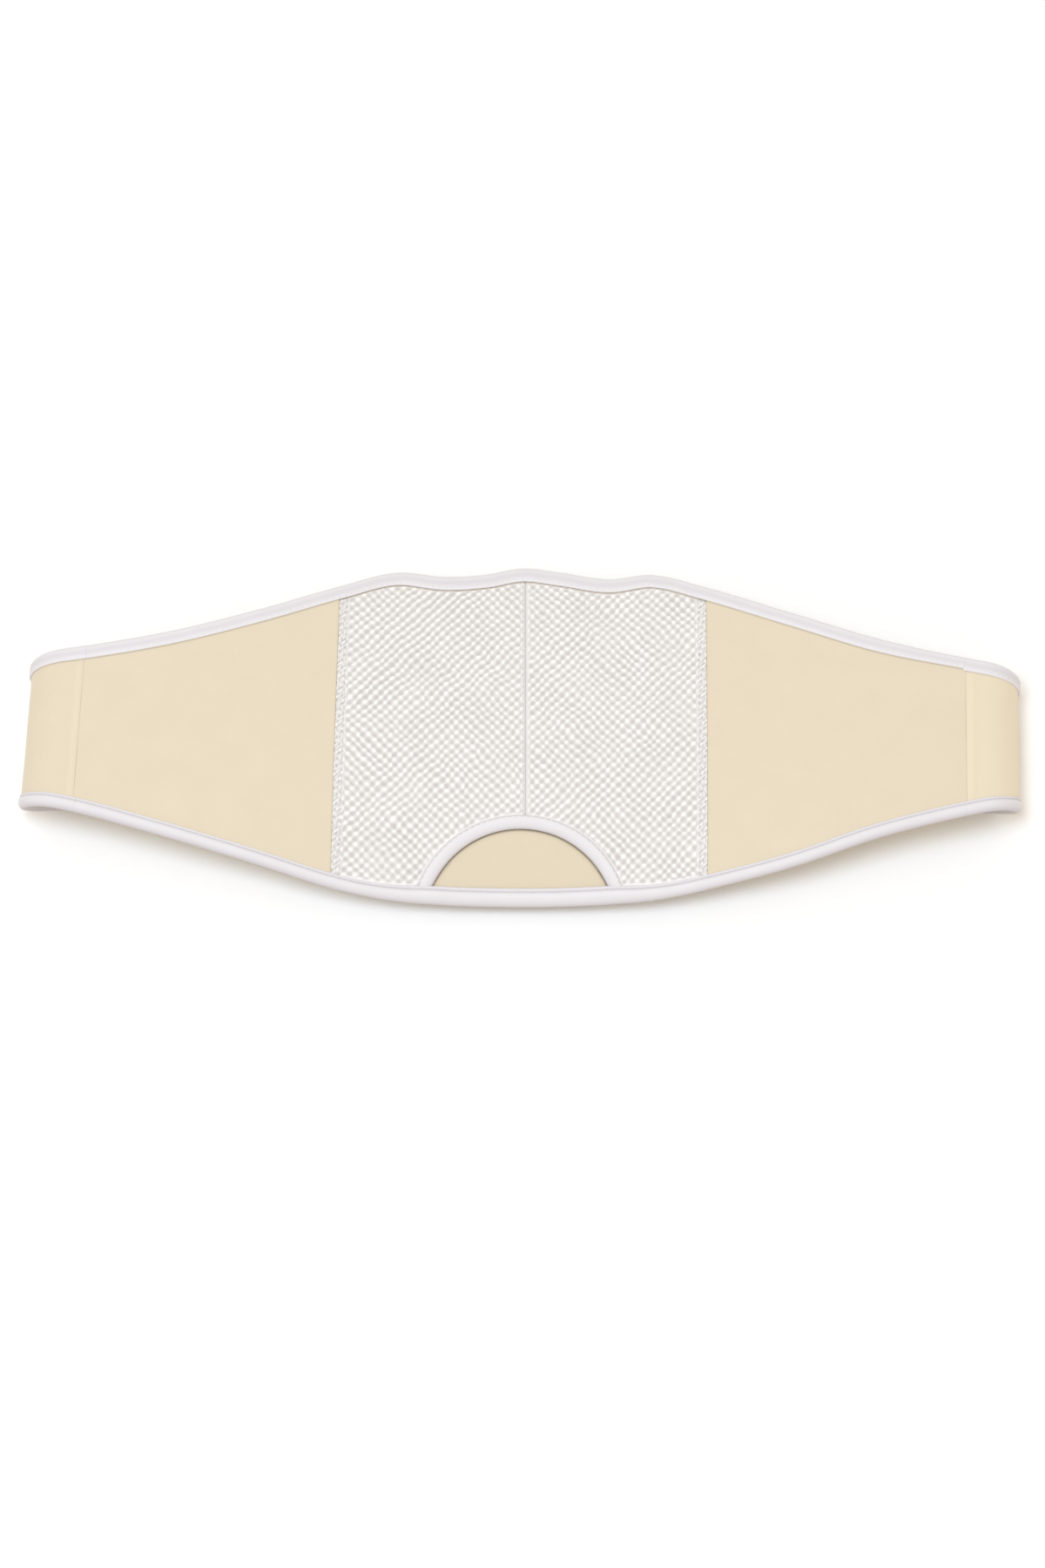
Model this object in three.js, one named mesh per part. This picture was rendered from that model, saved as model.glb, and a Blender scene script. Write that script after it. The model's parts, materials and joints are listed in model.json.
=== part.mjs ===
// Elastic support belt, fastened into a loop and lying on its back with the front panel up.
// Millimetres: +X along the belt, +Y towards its upper edge, +Z up from the surface that it lies on.
import * as THREE from "three";

// Cloth, tape and clearances
const CLOTH = 2.0; // thickness of the panels
const INSERT_CLOTH = 1.5; // thickness of the half-moon insert
const TAPE = 0.8; // thickness of the folded binding tape
const GAP = 0.3; // clearance between neighbouring pieces
const BINDING_WIDTH = 6.5; // how far a binding reaches in from the edge that it covers
const BINDING_HALF = CLOTH / 2 + GAP + TAPE; // from the cloth's middle to the outside of a binding
const SLOT_FLOOR = 1.4; // from a binding's outer edge to the bottom of its slot
const HEM_CLEARANCE = 0.8; // from the bottom of the slot to the cloth's hem
const CLOTH_INSET = SLOT_FLOOR + HEM_CLEARANCE; // from a binding's outer edge to the cloth inside it

// The loop as it lies: a sagging front, two round end folds and a flat back
const FOLD_START = 210.8; // from the middle of the front to where an end fold begins
const FOLD_RADIUS = 18;
const FOLD_LENGTH = Math.PI * FOLD_RADIUS;
const BACK_HEIGHT = BINDING_HALF; // the back's bindings lie on the surface
const FRONT_END_HEIGHT = BACK_HEIGHT + 2 * FOLD_RADIUS;
const FRONT_MIDDLE_HEIGHT = 27;
const UPPER_DROOP = { height: 7, reach: 80 }; // how far the front sinks at that distance above its axis
const LOWER_DROOP = { height: 16, reach: 80 }; // and below it
const LEAN = { left: 0.049, right: -0.02 }; // sideways slant of each end as it lies
const LEAN_GROWTH = 1.5;

// The fastening at the back: the right wing lies on the left wing
const OVERLAP_REACH = 45; // how far each wing passes the middle of the back
const WING_END = 2 * FOLD_START + FOLD_LENGTH + OVERLAP_REACH;
const STEP_UP = 2 * BINDING_HALF + GAP; // height that the right wing climbs
const STEP_SPAN = { foot: 85, top: 50 }; // where the climb begins and ends, from the middle of the back
const STEP_START = WING_END - OVERLAP_REACH - STEP_SPAN.foot;
const STEP_END = WING_END - OVERLAP_REACH - STEP_SPAN.top;

// Seams across the belt, as distances along it from the middle of the front
const CENTRE_SEAM = 1.3;
const MESH_SEAM = 85.2;
const WING_SEAM = 203.8;

// Stretches of the belt: its front between the end seams, and the wings past them
const FRONT = { from: GAP / 2 - WING_SEAM, to: WING_SEAM - GAP / 2 };
const LEFT_WING = { from: -WING_END, to: -WING_SEAM - GAP / 2 };
const RIGHT_WING = { from: WING_SEAM + GAP / 2, to: WING_END };

// The half-moon opening at the lower edge of the mesh, a circle centred below the belt
const ARCH = { middle: -0.9, centre: -87, radius: 44, width: 6.2 };
const MESH_CUT_RADIUS = ARCH.radius + CLOTH_INSET;
const INSERT_DEPTH = BINDING_HALF + GAP + INSERT_CLOTH / 2; // the insert passes behind the arch binding
const INSERT_TUCK = 7; // how far it reaches past the opening's edge
const INSERT_LEVEL = ARCH.radius - 2; // from this radius outwards it lies at its full depth
const INSERT_SLOPE = 3; // least length of its way down
const TUCK_START = THREE.MathUtils.degToRad(56); // nearer to the feet of the arch there is no tuck
const TUCK_FULL = THREE.MathUtils.degToRad(46);

// Hook tab between the overlapping wings
const TAB = { length: 76, height: 38, middle: 2, corner: 6 };

// Upper and lower edge of the belt at stations along it, left end first
const EDGES = [
  { along: -WING_END, upper: 30, lower: -26 },
  { along: -400, upper: 30, lower: -26 },
  { along: -320, upper: 31.4, lower: -26 },
  { along: -266, upper: 35, lower: -27.4 },
  { along: -238, upper: 37.2, lower: -33 },
  { along: -205, upper: 40.7, lower: -39.3 },
  { along: -165, upper: 48.5, lower: -50 },
  { along: -125, upper: 60.3, lower: -61 },
  { along: -85, upper: 74.2, lower: -71.4 },
  { along: -60, upper: 82.2, lower: -75.7 },
  { along: -36, upper: 80.9, lower: -77 },
  { along: -18, upper: 82.4, lower: -77.3 },
  { along: 0, upper: 85.9, lower: -77.4 },
  { along: 18, upper: 83.5, lower: -77.3 },
  { along: 40, upper: 79.5, lower: -76.8 },
  { along: 61, upper: 81, lower: -75.7 },
  { along: 85, upper: 73.6, lower: -72.1 },
  { along: 125, upper: 58.7, lower: -63.5 },
  { along: 165, upper: 44.5, lower: -51 },
  { along: 205, upper: 34.7, lower: -41.3 },
  { along: 238, upper: 29.8, lower: -34.8 },
  { along: 266, upper: 29.6, lower: -28.6 },
  { along: 320, upper: 29.8, lower: -26.4 },
  { along: 400, upper: 30, lower: -26 },
  { along: WING_END, upper: 30, lower: -26 },
];

// Facets along one half of the belt, zone by zone
const ZONES = [
  { from: 0, to: FOLD_START, steps: 22 },
  { from: FOLD_START, to: FOLD_START + FOLD_LENGTH, steps: 10 },
  { from: FOLD_START + FOLD_LENGTH, to: STEP_START, steps: 3 },
  { from: STEP_START, to: STEP_END, steps: 5 },
  { from: STEP_END, to: WING_END, steps: 2 },
];
const NOSE_STEPS = 6; // facets round a binding's folded edge
const ARCH_STEPS = 22;
const INSERT_STEPS = 18;
const MESH_STEPS = { overArch: 9, beside: 5, across: 7 };
const SIDE_ROWS = 5;
const WING_ROWS = 2;
const SOLVING_PASSES = 12;

const { clamp, lerp, smoothstep } = THREE.MathUtils;

// Height of an edge at a place along the belt: a smooth curve through the stations
function edgeAt(column, along) {
  const last = EDGES.length - 2;
  const found = EDGES.findIndex((row, i) => i > last || along < EDGES[i + 1].along);
  const i = clamp(found, 0, last);
  const slope = (k) => {
    const before = EDGES[Math.max(0, k - 1)];
    const after = EDGES[Math.min(last + 1, k + 1)];
    return (after[column] - before[column]) / (after.along - before.along);
  };
  const length = EDGES[i + 1].along - EDGES[i].along;
  const t = clamp((along - EDGES[i].along) / length, 0, 1);
  const bend = t * t * (3 - 2 * t);
  return (
    lerp(EDGES[i][column], EDGES[i + 1][column], bend) +
    length * t * (1 - t) * ((1 - t) * slope(i) - t * slope(i + 1))
  );
}

// Middle of the cloth at a distance along the belt and a height across it
function beltPoint(along, height) {
  const side = along < 0 ? -1 : 1;
  const distance = Math.abs(along);
  const share = Math.min(1, distance / FOLD_START);
  const slack = (1 + Math.cos(Math.PI * share)) / 2;
  const droop = height > 0 ? UPPER_DROOP : LOWER_DROOP;
  const sink = slack * droop.height * (height / droop.reach) ** 2;
  let x = distance;
  let z = lerp(FRONT_END_HEIGHT, FRONT_MIDDLE_HEIGHT, slack) - sink;
  const turned = (distance - FOLD_START) / FOLD_RADIUS;
  if (turned > Math.PI) {
    x = FOLD_START - (distance - FOLD_START - FOLD_LENGTH);
    z = BACK_HEIGHT + (side > 0 ? STEP_UP * smoothstep(distance, STEP_START, STEP_END) : 0);
  } else if (turned > 0) {
    x = FOLD_START + FOLD_RADIUS * Math.sin(turned);
    z = BACK_HEIGHT + FOLD_RADIUS * (1 + Math.cos(turned));
  }
  const lean = (side < 0 ? LEAN.left : LEAN.right) * height * share ** LEAN_GROWTH;
  return new THREE.Vector3(side * (x - lean), height, z);
}

// A point that far out of the cloth's middle, on the side that faces away from the body
function offCloth(along, height, out) {
  const step = 0.05;
  const acrossTangent = beltPoint(along, height + step).sub(beltPoint(along, height - step));
  const alongTangent = beltPoint(along + step, height).sub(beltPoint(along - step, height));
  const normal = alongTangent.cross(acrossTangent).normalize();
  return beltPoint(along, height).addScaledVector(normal, out);
}

// Stations along the belt between two places, both included
function stationsBetween(from, to) {
  const halves = ZONES.flatMap((zone) =>
    Array.from({ length: zone.steps }, (_, i) => lerp(zone.from, zone.to, (i + 1) / zone.steps)),
  );
  const all = [...halves.map((d) => -d).reverse(), 0, ...halves];
  const shortest = 1.5;
  return [from, ...all.filter((a) => a > from + shortest && a < to - shortest), to];
}

// Heights across a panel: close together under the bindings, even between them
function rowsAcross(lower, upper, count) {
  const hem = Math.min(BINDING_WIDTH, (upper - lower) / 4);
  const inner = Array.from({ length: count + 1 }, (_, i) => lerp(lower + hem, upper - hem, i / count));
  return [lower, ...inner, upper];
}

function geometryOf(points, triangles) {
  const geometry = new THREE.BufferGeometry().setFromPoints(points);
  geometry.setIndex(triangles);
  geometry.computeVertexNormals();
  return geometry;
}

// A wall of cloth over a grid of [along, height, middle's offset] places, columns first
function clothGeometry(grid, thickness) {
  const columns = grid.length;
  const rows = grid[0].length;
  const points = [thickness / 2, -thickness / 2].flatMap((half) =>
    grid.flat().map(([along, height, out = 0]) => offCloth(along, height, out + half)),
  );
  const front = (i, j) => i * rows + j;
  const back = (i, j) => columns * rows + front(i, j);
  const triangles = [];
  const quad = (a, b, c, d) => triangles.push(a, b, c, a, c, d);
  for (let i = 0; i + 1 < columns; i++) {
    for (let j = 0; j + 1 < rows; j++) {
      quad(front(i, j), front(i + 1, j), front(i + 1, j + 1), front(i, j + 1));
      quad(back(i, j), back(i, j + 1), back(i + 1, j + 1), back(i + 1, j));
    }
    quad(front(i, 0), back(i, 0), back(i + 1, 0), front(i + 1, 0));
    quad(front(i, rows - 1), front(i + 1, rows - 1), back(i + 1, rows - 1), back(i, rows - 1));
  }
  for (let j = 0; j + 1 < rows; j++) {
    quad(front(0, j), front(0, j + 1), back(0, j + 1), back(0, j));
    quad(front(columns - 1, j), back(columns - 1, j), back(columns - 1, j + 1), front(columns - 1, j + 1));
  }
  return geometryOf(points, triangles);
}

// Outline of a folded tape: [distance in from the edge, distance out of the cloth's middle]
function bindingSection(width) {
  const slotHalf = BINDING_HALF - TAPE;
  const nose = Array.from({ length: NOSE_STEPS + 1 }, (_, i) => {
    const angle = Math.PI * (0.5 + i / NOSE_STEPS);
    return [BINDING_HALF * (1 + Math.cos(angle)), BINDING_HALF * Math.sin(angle)];
  });
  return [
    [width, BINDING_HALF],
    ...nose,
    [width, -BINDING_HALF],
    [width, -slotHalf],
    [SLOT_FLOOR, -slotHalf],
    [SLOT_FLOOR, slotHalf],
    [width, slotHalf],
  ];
}

// A section carried through rings of points; turned says that the rings run the other way round
function sweptGeometry(section, rings, turned) {
  const size = section.length;
  const triangles = [];
  rings.slice(1).forEach((_, k) => {
    for (let i = 0; i < size; i++) {
      const next = (i + 1) % size;
      const [a, b, c, d] = [k * size + i, k * size + next, (k + 1) * size + next, (k + 1) * size + i];
      triangles.push(a, b, c, a, c, d);
    }
  });
  const end = (rings.length - 1) * size;
  const outline = section.map(([inward, out]) => new THREE.Vector2(inward, out));
  for (const [a, b, c] of THREE.ShapeUtils.triangulateShape(outline, [])) {
    triangles.push(a, c, b, end + a, end + b, end + c);
  }
  if (turned) triangles.reverse();
  return geometryOf(rings.flat(), triangles);
}

// Binding along the upper or lower edge of a stretch of the belt
function edgeBinding(column, { from, to }) {
  const inward = column === "upper" ? -1 : 1;
  const section = bindingSection(BINDING_WIDTH);
  const rings = stationsBetween(from, to).map((along) => {
    const step = 0.5;
    const rise = (edgeAt(column, along + step) - edgeAt(column, along - step)) / (2 * step);
    const length = Math.hypot(1, rise);
    return section.map(([depth, out]) =>
      offCloth(
        along - (inward * rise * depth) / length,
        edgeAt(column, along) + (inward * depth) / length,
        out,
      ),
    );
  });
  return sweptGeometry(section, rings, column === "upper");
}

// Where a ray from the arch's centre meets a line that far in from the belt's lower edge
function rayToEdge(angle, inset) {
  let radius = ARCH.radius;
  for (let pass = 0; pass < SOLVING_PASSES; pass++) {
    const along = ARCH.middle + radius * Math.sin(angle);
    radius = (edgeAt("lower", along) + inset - ARCH.centre) / Math.cos(angle);
  }
  return radius;
}

// Angle at which a circle round the arch's centre meets that line
function angleAtEdge(radius, inset) {
  let angle = 1;
  for (let pass = 0; pass < SOLVING_PASSES; pass++) {
    const along = ARCH.middle + radius * Math.sin(angle);
    angle = Math.acos(clamp((edgeAt("lower", along) + inset - ARCH.centre) / radius, -1, 1));
  }
  return angle;
}

const archPlace = (radius, angle) => [
  ARCH.middle + radius * Math.sin(angle),
  ARCH.centre + radius * Math.cos(angle),
];

// Binding round the half-moon opening, its feet cut level with the lower binding
function archBinding() {
  const section = bindingSection(ARCH.width);
  const feet = section.map(([depth]) => angleAtEdge(ARCH.radius + depth, BINDING_WIDTH + GAP));
  const rings = Array.from({ length: ARCH_STEPS + 1 }, (_, k) =>
    section.map(([depth, out], i) => {
      const angle = feet[i] * lerp(-1, 1, k / ARCH_STEPS);
      return offCloth(...archPlace(ARCH.radius + depth, angle), out);
    }),
  );
  return sweptGeometry(section, rings, false);
}

// Lower edge of the mesh: inside the lower binding, or round the opening
function meshLowerEdge(along) {
  const hem = edgeAt("lower", along) + CLOTH_INSET;
  const reach = Math.abs(along - ARCH.middle);
  if (reach >= MESH_CUT_RADIUS) return hem;
  return Math.max(hem, ARCH.centre + Math.sqrt(MESH_CUT_RADIUS ** 2 - reach ** 2));
}

// Places down one column of a panel, from a lower edge to the upper hem
function columnAt(along, lower, rowCount) {
  const upper = edgeAt("upper", along) - CLOTH_INSET;
  return rowsAcross(lower, upper, rowCount).map((height) => [along, height]);
}

// Half of the front mesh, from its side seam to the centre seam
function meshPanel(side) {
  const foot = angleAtEdge(MESH_CUT_RADIUS, CLOTH_INSET);
  const start = CENTRE_SEAM + (side * GAP) / 2;
  const corner = ARCH.middle + side * MESH_CUT_RADIUS * Math.sin(foot);
  const startAngle = Math.asin((start - ARCH.middle) / MESH_CUT_RADIUS);
  const overArch = Array.from({ length: MESH_STEPS.overArch }, (_, i) => {
    const angle = lerp(startAngle, side * foot, i / MESH_STEPS.overArch);
    return ARCH.middle + MESH_CUT_RADIUS * Math.sin(angle);
  });
  const beside = Array.from({ length: MESH_STEPS.beside + 1 }, (_, i) =>
    lerp(corner, side * (MESH_SEAM - GAP / 2), i / MESH_STEPS.beside),
  );
  const columns = [...overArch, ...beside].sort((a, b) => a - b);
  const grid = columns.map((along) => columnAt(along, meshLowerEdge(along), MESH_STEPS.across));
  return clothGeometry(grid, CLOTH);
}

// A plain panel over a stretch of the belt, its hems inside the bindings
function plainPanel({ from, to }, rowCount) {
  const lowerHem = (along) => edgeAt("lower", along) + CLOTH_INSET;
  const columns = stationsBetween(from, to);
  const grid = columns.map((along) => columnAt(along, lowerHem(along), rowCount));
  return clothGeometry(grid, CLOTH);
}

// Cloth between the mesh and an end seam
function sidePanel(side) {
  const inner = side * (MESH_SEAM + GAP / 2);
  return plainPanel(side < 0 ? { ...FRONT, to: inner } : { ...FRONT, from: inner }, SIDE_ROWS);
}

// Half-moon insert: sewn into the lower binding, then passing behind the arch binding
function insertPanel() {
  const rim = ARCH.radius - GAP;
  const foot = angleAtEdge(rim, BINDING_WIDTH);
  const grid = Array.from({ length: INSERT_STEPS + 1 }, (_, k) => {
    const angle = foot * lerp(-1, 1, k / INSERT_STEPS);
    const tuck = 1 - smoothstep(Math.abs(angle), TUCK_FULL, TUCK_START);
    const depth = INSERT_DEPTH * (1 - smoothstep(Math.abs(angle), TUCK_START, foot));
    const hem = rayToEdge(angle, CLOTH_INSET);
    const leaves = Math.min(rayToEdge(angle, BINDING_WIDTH), INSERT_LEVEL - INSERT_SLOPE);
    const wayDown = [0, 1 / 4, 1 / 2, 3 / 4, 1].map((t) => {
      const place = archPlace(lerp(leaves, INSERT_LEVEL, t), angle);
      return [...place, -depth * smoothstep(t, 0, 1)];
    });
    return [
      [...archPlace(hem, angle), 0],
      ...wayDown,
      [...archPlace(rim + tuck * INSERT_TUCK, angle), -depth],
    ];
  });
  return clothGeometry(grid, INSERT_CLOTH);
}

// Hook tab: a plain rounded sheet that joins the wings
function hookTab() {
  const space = STEP_UP - CLOTH;
  const thickness = space - 2 * GAP;
  const [x, y] = [TAB.length / 2 - TAB.corner, TAB.height / 2 - TAB.corner];
  const outline = new THREE.Shape();
  outline.absarc(x, y, TAB.corner, 0, Math.PI / 2);
  outline.absarc(-x, y, TAB.corner, Math.PI / 2, Math.PI);
  outline.absarc(-x, -y, TAB.corner, Math.PI, 1.5 * Math.PI);
  outline.absarc(x, -y, TAB.corner, 1.5 * Math.PI, 2 * Math.PI);
  const options = { depth: thickness, bevelEnabled: false, curveSegments: 5 };
  const geometry = new THREE.ExtrudeGeometry(outline, options);
  return geometry.translate(0, TAB.middle, BACK_HEIGHT + CLOTH / 2 + GAP);
}

const CREAM_CLOTH = { color: "#eadec6", roughness: 0.9, metalness: 0 };
const WHITE_TAPE = { color: "#efebf1", roughness: 0.7, metalness: 0 };
const WHITE_MESH = { color: "#eeeae6", roughness: 0.85, metalness: 0 };
const HOOK_TAPE = { color: "#e6dcc8", roughness: 0.8, metalness: 0 };

const pieces = [
  { name: "mesh_panel_left", geometry: meshPanel(-1), finish: WHITE_MESH },
  { name: "mesh_panel_right", geometry: meshPanel(1), finish: WHITE_MESH },
  { name: "side_panel_left", geometry: sidePanel(-1), finish: CREAM_CLOTH },
  { name: "side_panel_right", geometry: sidePanel(1), finish: CREAM_CLOTH },
  { name: "wing_left", geometry: plainPanel(LEFT_WING, WING_ROWS), finish: CREAM_CLOTH },
  { name: "wing_right", geometry: plainPanel(RIGHT_WING, WING_ROWS), finish: CREAM_CLOTH },
  { name: "lower_insert", geometry: insertPanel(), finish: CREAM_CLOTH },
  { name: "upper_binding", geometry: edgeBinding("upper", FRONT), finish: WHITE_TAPE },
  { name: "lower_binding", geometry: edgeBinding("lower", FRONT), finish: WHITE_TAPE },
  { name: "upper_wing_binding_left", geometry: edgeBinding("upper", LEFT_WING), finish: WHITE_TAPE },
  { name: "lower_wing_binding_left", geometry: edgeBinding("lower", LEFT_WING), finish: WHITE_TAPE },
  { name: "upper_wing_binding_right", geometry: edgeBinding("upper", RIGHT_WING), finish: WHITE_TAPE },
  { name: "lower_wing_binding_right", geometry: edgeBinding("lower", RIGHT_WING), finish: WHITE_TAPE },
  { name: "arch_binding", geometry: archBinding(), finish: WHITE_TAPE },
  { name: "hook_tab", geometry: hookTab(), finish: HOOK_TAPE },
];

const belt = new THREE.Group();
for (const { name, geometry, finish } of pieces) {
  const mesh = new THREE.Mesh(geometry, new THREE.MeshStandardMaterial(finish));
  mesh.name = name;
  belt.add(mesh);
}

// The origin is under the middle of the belt, on the surface that it lies on
const middle = new THREE.Box3().setFromObject(belt).getCenter(new THREE.Vector3());
belt.position.set(-middle.x, -middle.y, 0);

export default belt;
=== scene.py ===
"""Elastic support belt, fastened into a loop and lying on its back with the front panel up.

Metres: +X along the belt, +Y towards its upper edge, +Z up from the surface that it lies on.
Each piece of cloth is a closed wall on the belt's own surface, which is given by a distance along
the belt, a height across it and a distance out of the cloth's middle, away from the body.
"""
import json
from math import cos, pi, radians, sin

import bpy
import numpy as np
from bpy.props import FloatProperty, FloatVectorProperty, PointerProperty
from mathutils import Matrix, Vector


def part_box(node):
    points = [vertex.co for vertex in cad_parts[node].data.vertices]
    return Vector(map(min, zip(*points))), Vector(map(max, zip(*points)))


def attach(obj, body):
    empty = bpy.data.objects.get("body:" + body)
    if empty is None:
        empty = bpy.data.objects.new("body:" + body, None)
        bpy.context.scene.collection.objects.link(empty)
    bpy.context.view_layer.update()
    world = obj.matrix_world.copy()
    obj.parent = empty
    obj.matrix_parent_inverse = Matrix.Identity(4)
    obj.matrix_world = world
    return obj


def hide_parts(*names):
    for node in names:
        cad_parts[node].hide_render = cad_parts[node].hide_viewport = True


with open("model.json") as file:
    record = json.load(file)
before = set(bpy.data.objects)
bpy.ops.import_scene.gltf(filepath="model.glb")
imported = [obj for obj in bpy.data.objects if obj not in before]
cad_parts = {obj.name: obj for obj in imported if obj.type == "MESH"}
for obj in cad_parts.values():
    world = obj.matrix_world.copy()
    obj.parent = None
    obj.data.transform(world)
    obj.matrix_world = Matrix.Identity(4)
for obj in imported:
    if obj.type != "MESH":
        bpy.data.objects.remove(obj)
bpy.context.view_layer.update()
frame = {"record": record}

bl_info = {
    "name": "Support belt",
    "version": (1, 0, 0),
    "blender": (4, 5, 0),
    "location": "3D View > Sidebar > Belt",
    "description": "Models the cloth, mesh, tape and stitches of a lying support belt",
    "category": "Mesh",
}

MM = 0.001
BODY = "root"
UV_NAME = "belt"
SIDES = {"left": -1, "right": 1}

# Cloth, tape and clearances
CLOTH = 2.0 * MM  # thickness of the panels
INSERT_CLOTH = 1.5 * MM  # thickness of the half-moon insert
TAPE = 0.8 * MM  # thickness of the folded binding tape
GAP = 0.3 * MM  # clearance between neighbouring pieces
SEAM_GAP = 0.03 * MM  # between pieces whose edges are sewn together
BINDING_WIDTH = 6.5 * MM  # how far a binding reaches in from the edge that it covers
BINDING_HALF = CLOTH / 2 + GAP + TAPE  # from the cloth's middle to the outside of a binding
CLOTH_INSET = 2.2 * MM  # from a binding's outer edge to the cloth's hem inside it

# The loop as it lies: a sagging front, two round end folds and a flat back
FOLD_START = 210.8 * MM
FOLD_RADIUS = 18 * MM
FOLD_LENGTH = pi * FOLD_RADIUS
FOLD_END = FOLD_START + FOLD_LENGTH
BACK_HEIGHT = BINDING_HALF
FRONT_END_HEIGHT = BACK_HEIGHT + 2 * FOLD_RADIUS
FRONT_MIDDLE_HEIGHT = 27 * MM
UPPER_DROOP = 7 * MM  # how far the front sinks at DROOP_REACH above its axis
LOWER_DROOP = 16 * MM  # and below it
DROOP_REACH = 80 * MM
LEFT_LEAN = 0.049  # sideways slant of each end as it lies
RIGHT_LEAN = -0.02
LEAN_GROWTH = 1.5
LEFT_PULL = 1.4 * MM  # how far the cloth at the mesh's left seam is drawn outwards
PULL_LEAN = 0.008  # and how much less for each metre up the seam
PULL_REACH = 24 * MM

# The fastening at the back: the right wing lies on the left wing
OVERLAP_REACH = 45 * MM
WING_END = 2 * FOLD_START + FOLD_LENGTH + OVERLAP_REACH
STEP_UP = 2 * BINDING_HALF + GAP
STEP_START = WING_END - OVERLAP_REACH - 85 * MM
STEP_END = WING_END - OVERLAP_REACH - 50 * MM

# Seams across the belt, as distances along it from the middle of the front
CENTRE_SEAM = 1.3 * MM
MESH_SEAM = 85.2 * MM
WING_SEAM = 203.8 * MM
SEAM_STEPS = (0, 0.12 * MM, 0.3 * MM, 0.6 * MM, 1.1 * MM)  # close columns of points at a seam

# How cloth turns down at a seam or a hem: depth and radius
KNIT_ROLL = (0.29 * MM, 0.45 * MM)
MESH_SEAM_ROLL = (0.26 * MM, 0.6 * MM)
WING_SEAM_ROLL = (0.1 * MM, 0.4 * MM)
WING_END_ROLL = (0.8 * MM, 1 * MM)

# The half-moon opening at the lower edge of the mesh, a circle centred below the belt
ARCH_MIDDLE = -0.9 * MM
ARCH_CENTRE = -87 * MM
ARCH_RADIUS = 44 * MM
ARCH_WIDTH = 6.2 * MM
MESH_CUT_RADIUS = ARCH_RADIUS + CLOTH_INSET
INSERT_DEPTH = BINDING_HALF + GAP + INSERT_CLOTH / 2
INSERT_TUCK = 7 * MM
TUCK_START = radians(56)
TUCK_FULL = radians(46)

# Hook tab between the overlapping wings
TAB_MIDDLE = 2 * MM
TAB_CORNER = 6 * MM
TAB_RIM = 0.35 * MM

# Upper and lower edge of the belt at stations along it, left end first, in millimetres
EDGE_COLUMNS = ("along", "upper", "lower")
EDGE_ROWS = (
    (-WING_END / MM, 30, -26),
    (-400, 30, -26),
    (-320, 31.4, -26),
    (-266, 35, -27.4),
    (-238, 37.2, -33),
    (-205, 40.7, -39.3),
    (-165, 48.5, -50),
    (-125, 60.3, -61),
    (-85, 74.2, -71.4),
    (-60, 82.2, -75.7),
    (-36, 80.9, -77),
    (-18, 82.4, -77.3),
    (0, 85.9, -77.4),
    (18, 83.5, -77.3),
    (40, 79.5, -76.8),
    (61, 81, -75.7),
    (85, 73.6, -72.1),
    (125, 58.7, -63.5),
    (165, 44.5, -51),
    (205, 34.7, -41.3),
    (238, 29.8, -34.8),
    (266, 29.6, -28.6),
    (320, 29.8, -26.4),
    (400, 30, -26),
    (WING_END / MM, 30, -26),
)
EDGES = {name: MM * np.array(rows, float) for name, rows in zip(EDGE_COLUMNS, zip(*EDGE_ROWS))}

# Front half of a folded tape's outside, from the edge on the cloth to the fold: depth in from the
# fold and distance out of the cloth's middle, in millimetres, and how much painted shade it has
# there, up to 1: most in the sewn ditch and towards the fold, some over the upper tape's body
LAPPED_TAPE_ROWS = (
    (6.50, 1.04, 0.30),
    (6.56, 1.26, 0.30),
    (6.44, 1.52, 0.25),
    (6.12, 1.66, 0.25),
    (5.66, 1.60, 0.40),
    (5.28, 1.42, 1.00),
    (4.86, 1.74, 0.20),
    (4.10, 2.03, 0.00),
    (3.20, 2.06, 0.12),
    (2.20, 1.89, 0.25),
    (1.30, 1.55, 0.48),
    (0.55, 1.02, 0.80),
    (0.12, 0.50, 1.00),
    (0.00, 0.00, 1.00),
)
PLAIN_TAPE_ROWS = (
    (6.50, 1.04, 0.20),
    (6.58, 1.36, 0.00),
    (6.48, 1.72, 0.00),
    (6.20, 1.95, 0.00),
    (5.75, 2.02, 0.00),
    (5.20, 1.97, 0.10),
    (4.40, 1.88, 0.38),
    (3.40, 1.88, 0.46),
    (2.60, 1.92, 0.28),
    (1.70, 1.87, 0.05),
    (0.90, 1.58, 0.05),
    (0.28, 0.89, 0.30),
    (0.00, 0.00, 0.30),
)
ROUND_TAPE_ROWS = (
    (6.50, 1.04, 0.60),
    (6.56, 1.30, 0.45),
    (6.40, 1.66, 0.15),
    (5.95, 1.93, 0.00),
    (5.20, 2.08, 0.00),
    (4.30, 2.10, 0.05),
    (3.40, 2.05, 0.13),
    (2.50, 1.95, 0.22),
    (1.70, 1.78, 0.30),
    (0.95, 1.48, 0.36),
    (0.30, 0.86, 0.42),
    (0.00, 0.00, 0.50),
)
TAPE_SLOT_ROWS = ((6.30, 1.03), (1.55, 1.08), (1.40, 0.40))

# Width of the edge tapes, as shares of BINDING_WIDTH
UPPER_SHARE = 1.02
UPPER_MIDDLE_GAIN = 0.11  # how much wider the upper tape is in the middle of the front
UPPER_END_LOSS = 0.14  # and how much narrower before the right end seam
LOWER_MIDDLE_GAIN = 0.25
WIDE_MIDDLE = (35 * MM, 75 * MM)  # how far out the wide middle starts to taper, and ends
NARROWING = 45 * MM  # length over which the upper tape grows narrower

# Painted shadow: a thin dark line on the cloth along the edge of the upper tape
TAPE_LINE_AT = 0.2 * MM  # how far past the tape's edge it is darkest
TAPE_LINE_HALF = 0.42 * MM
TAPE_LINE_SHADE = 0.38  # on the cream cloth

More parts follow.
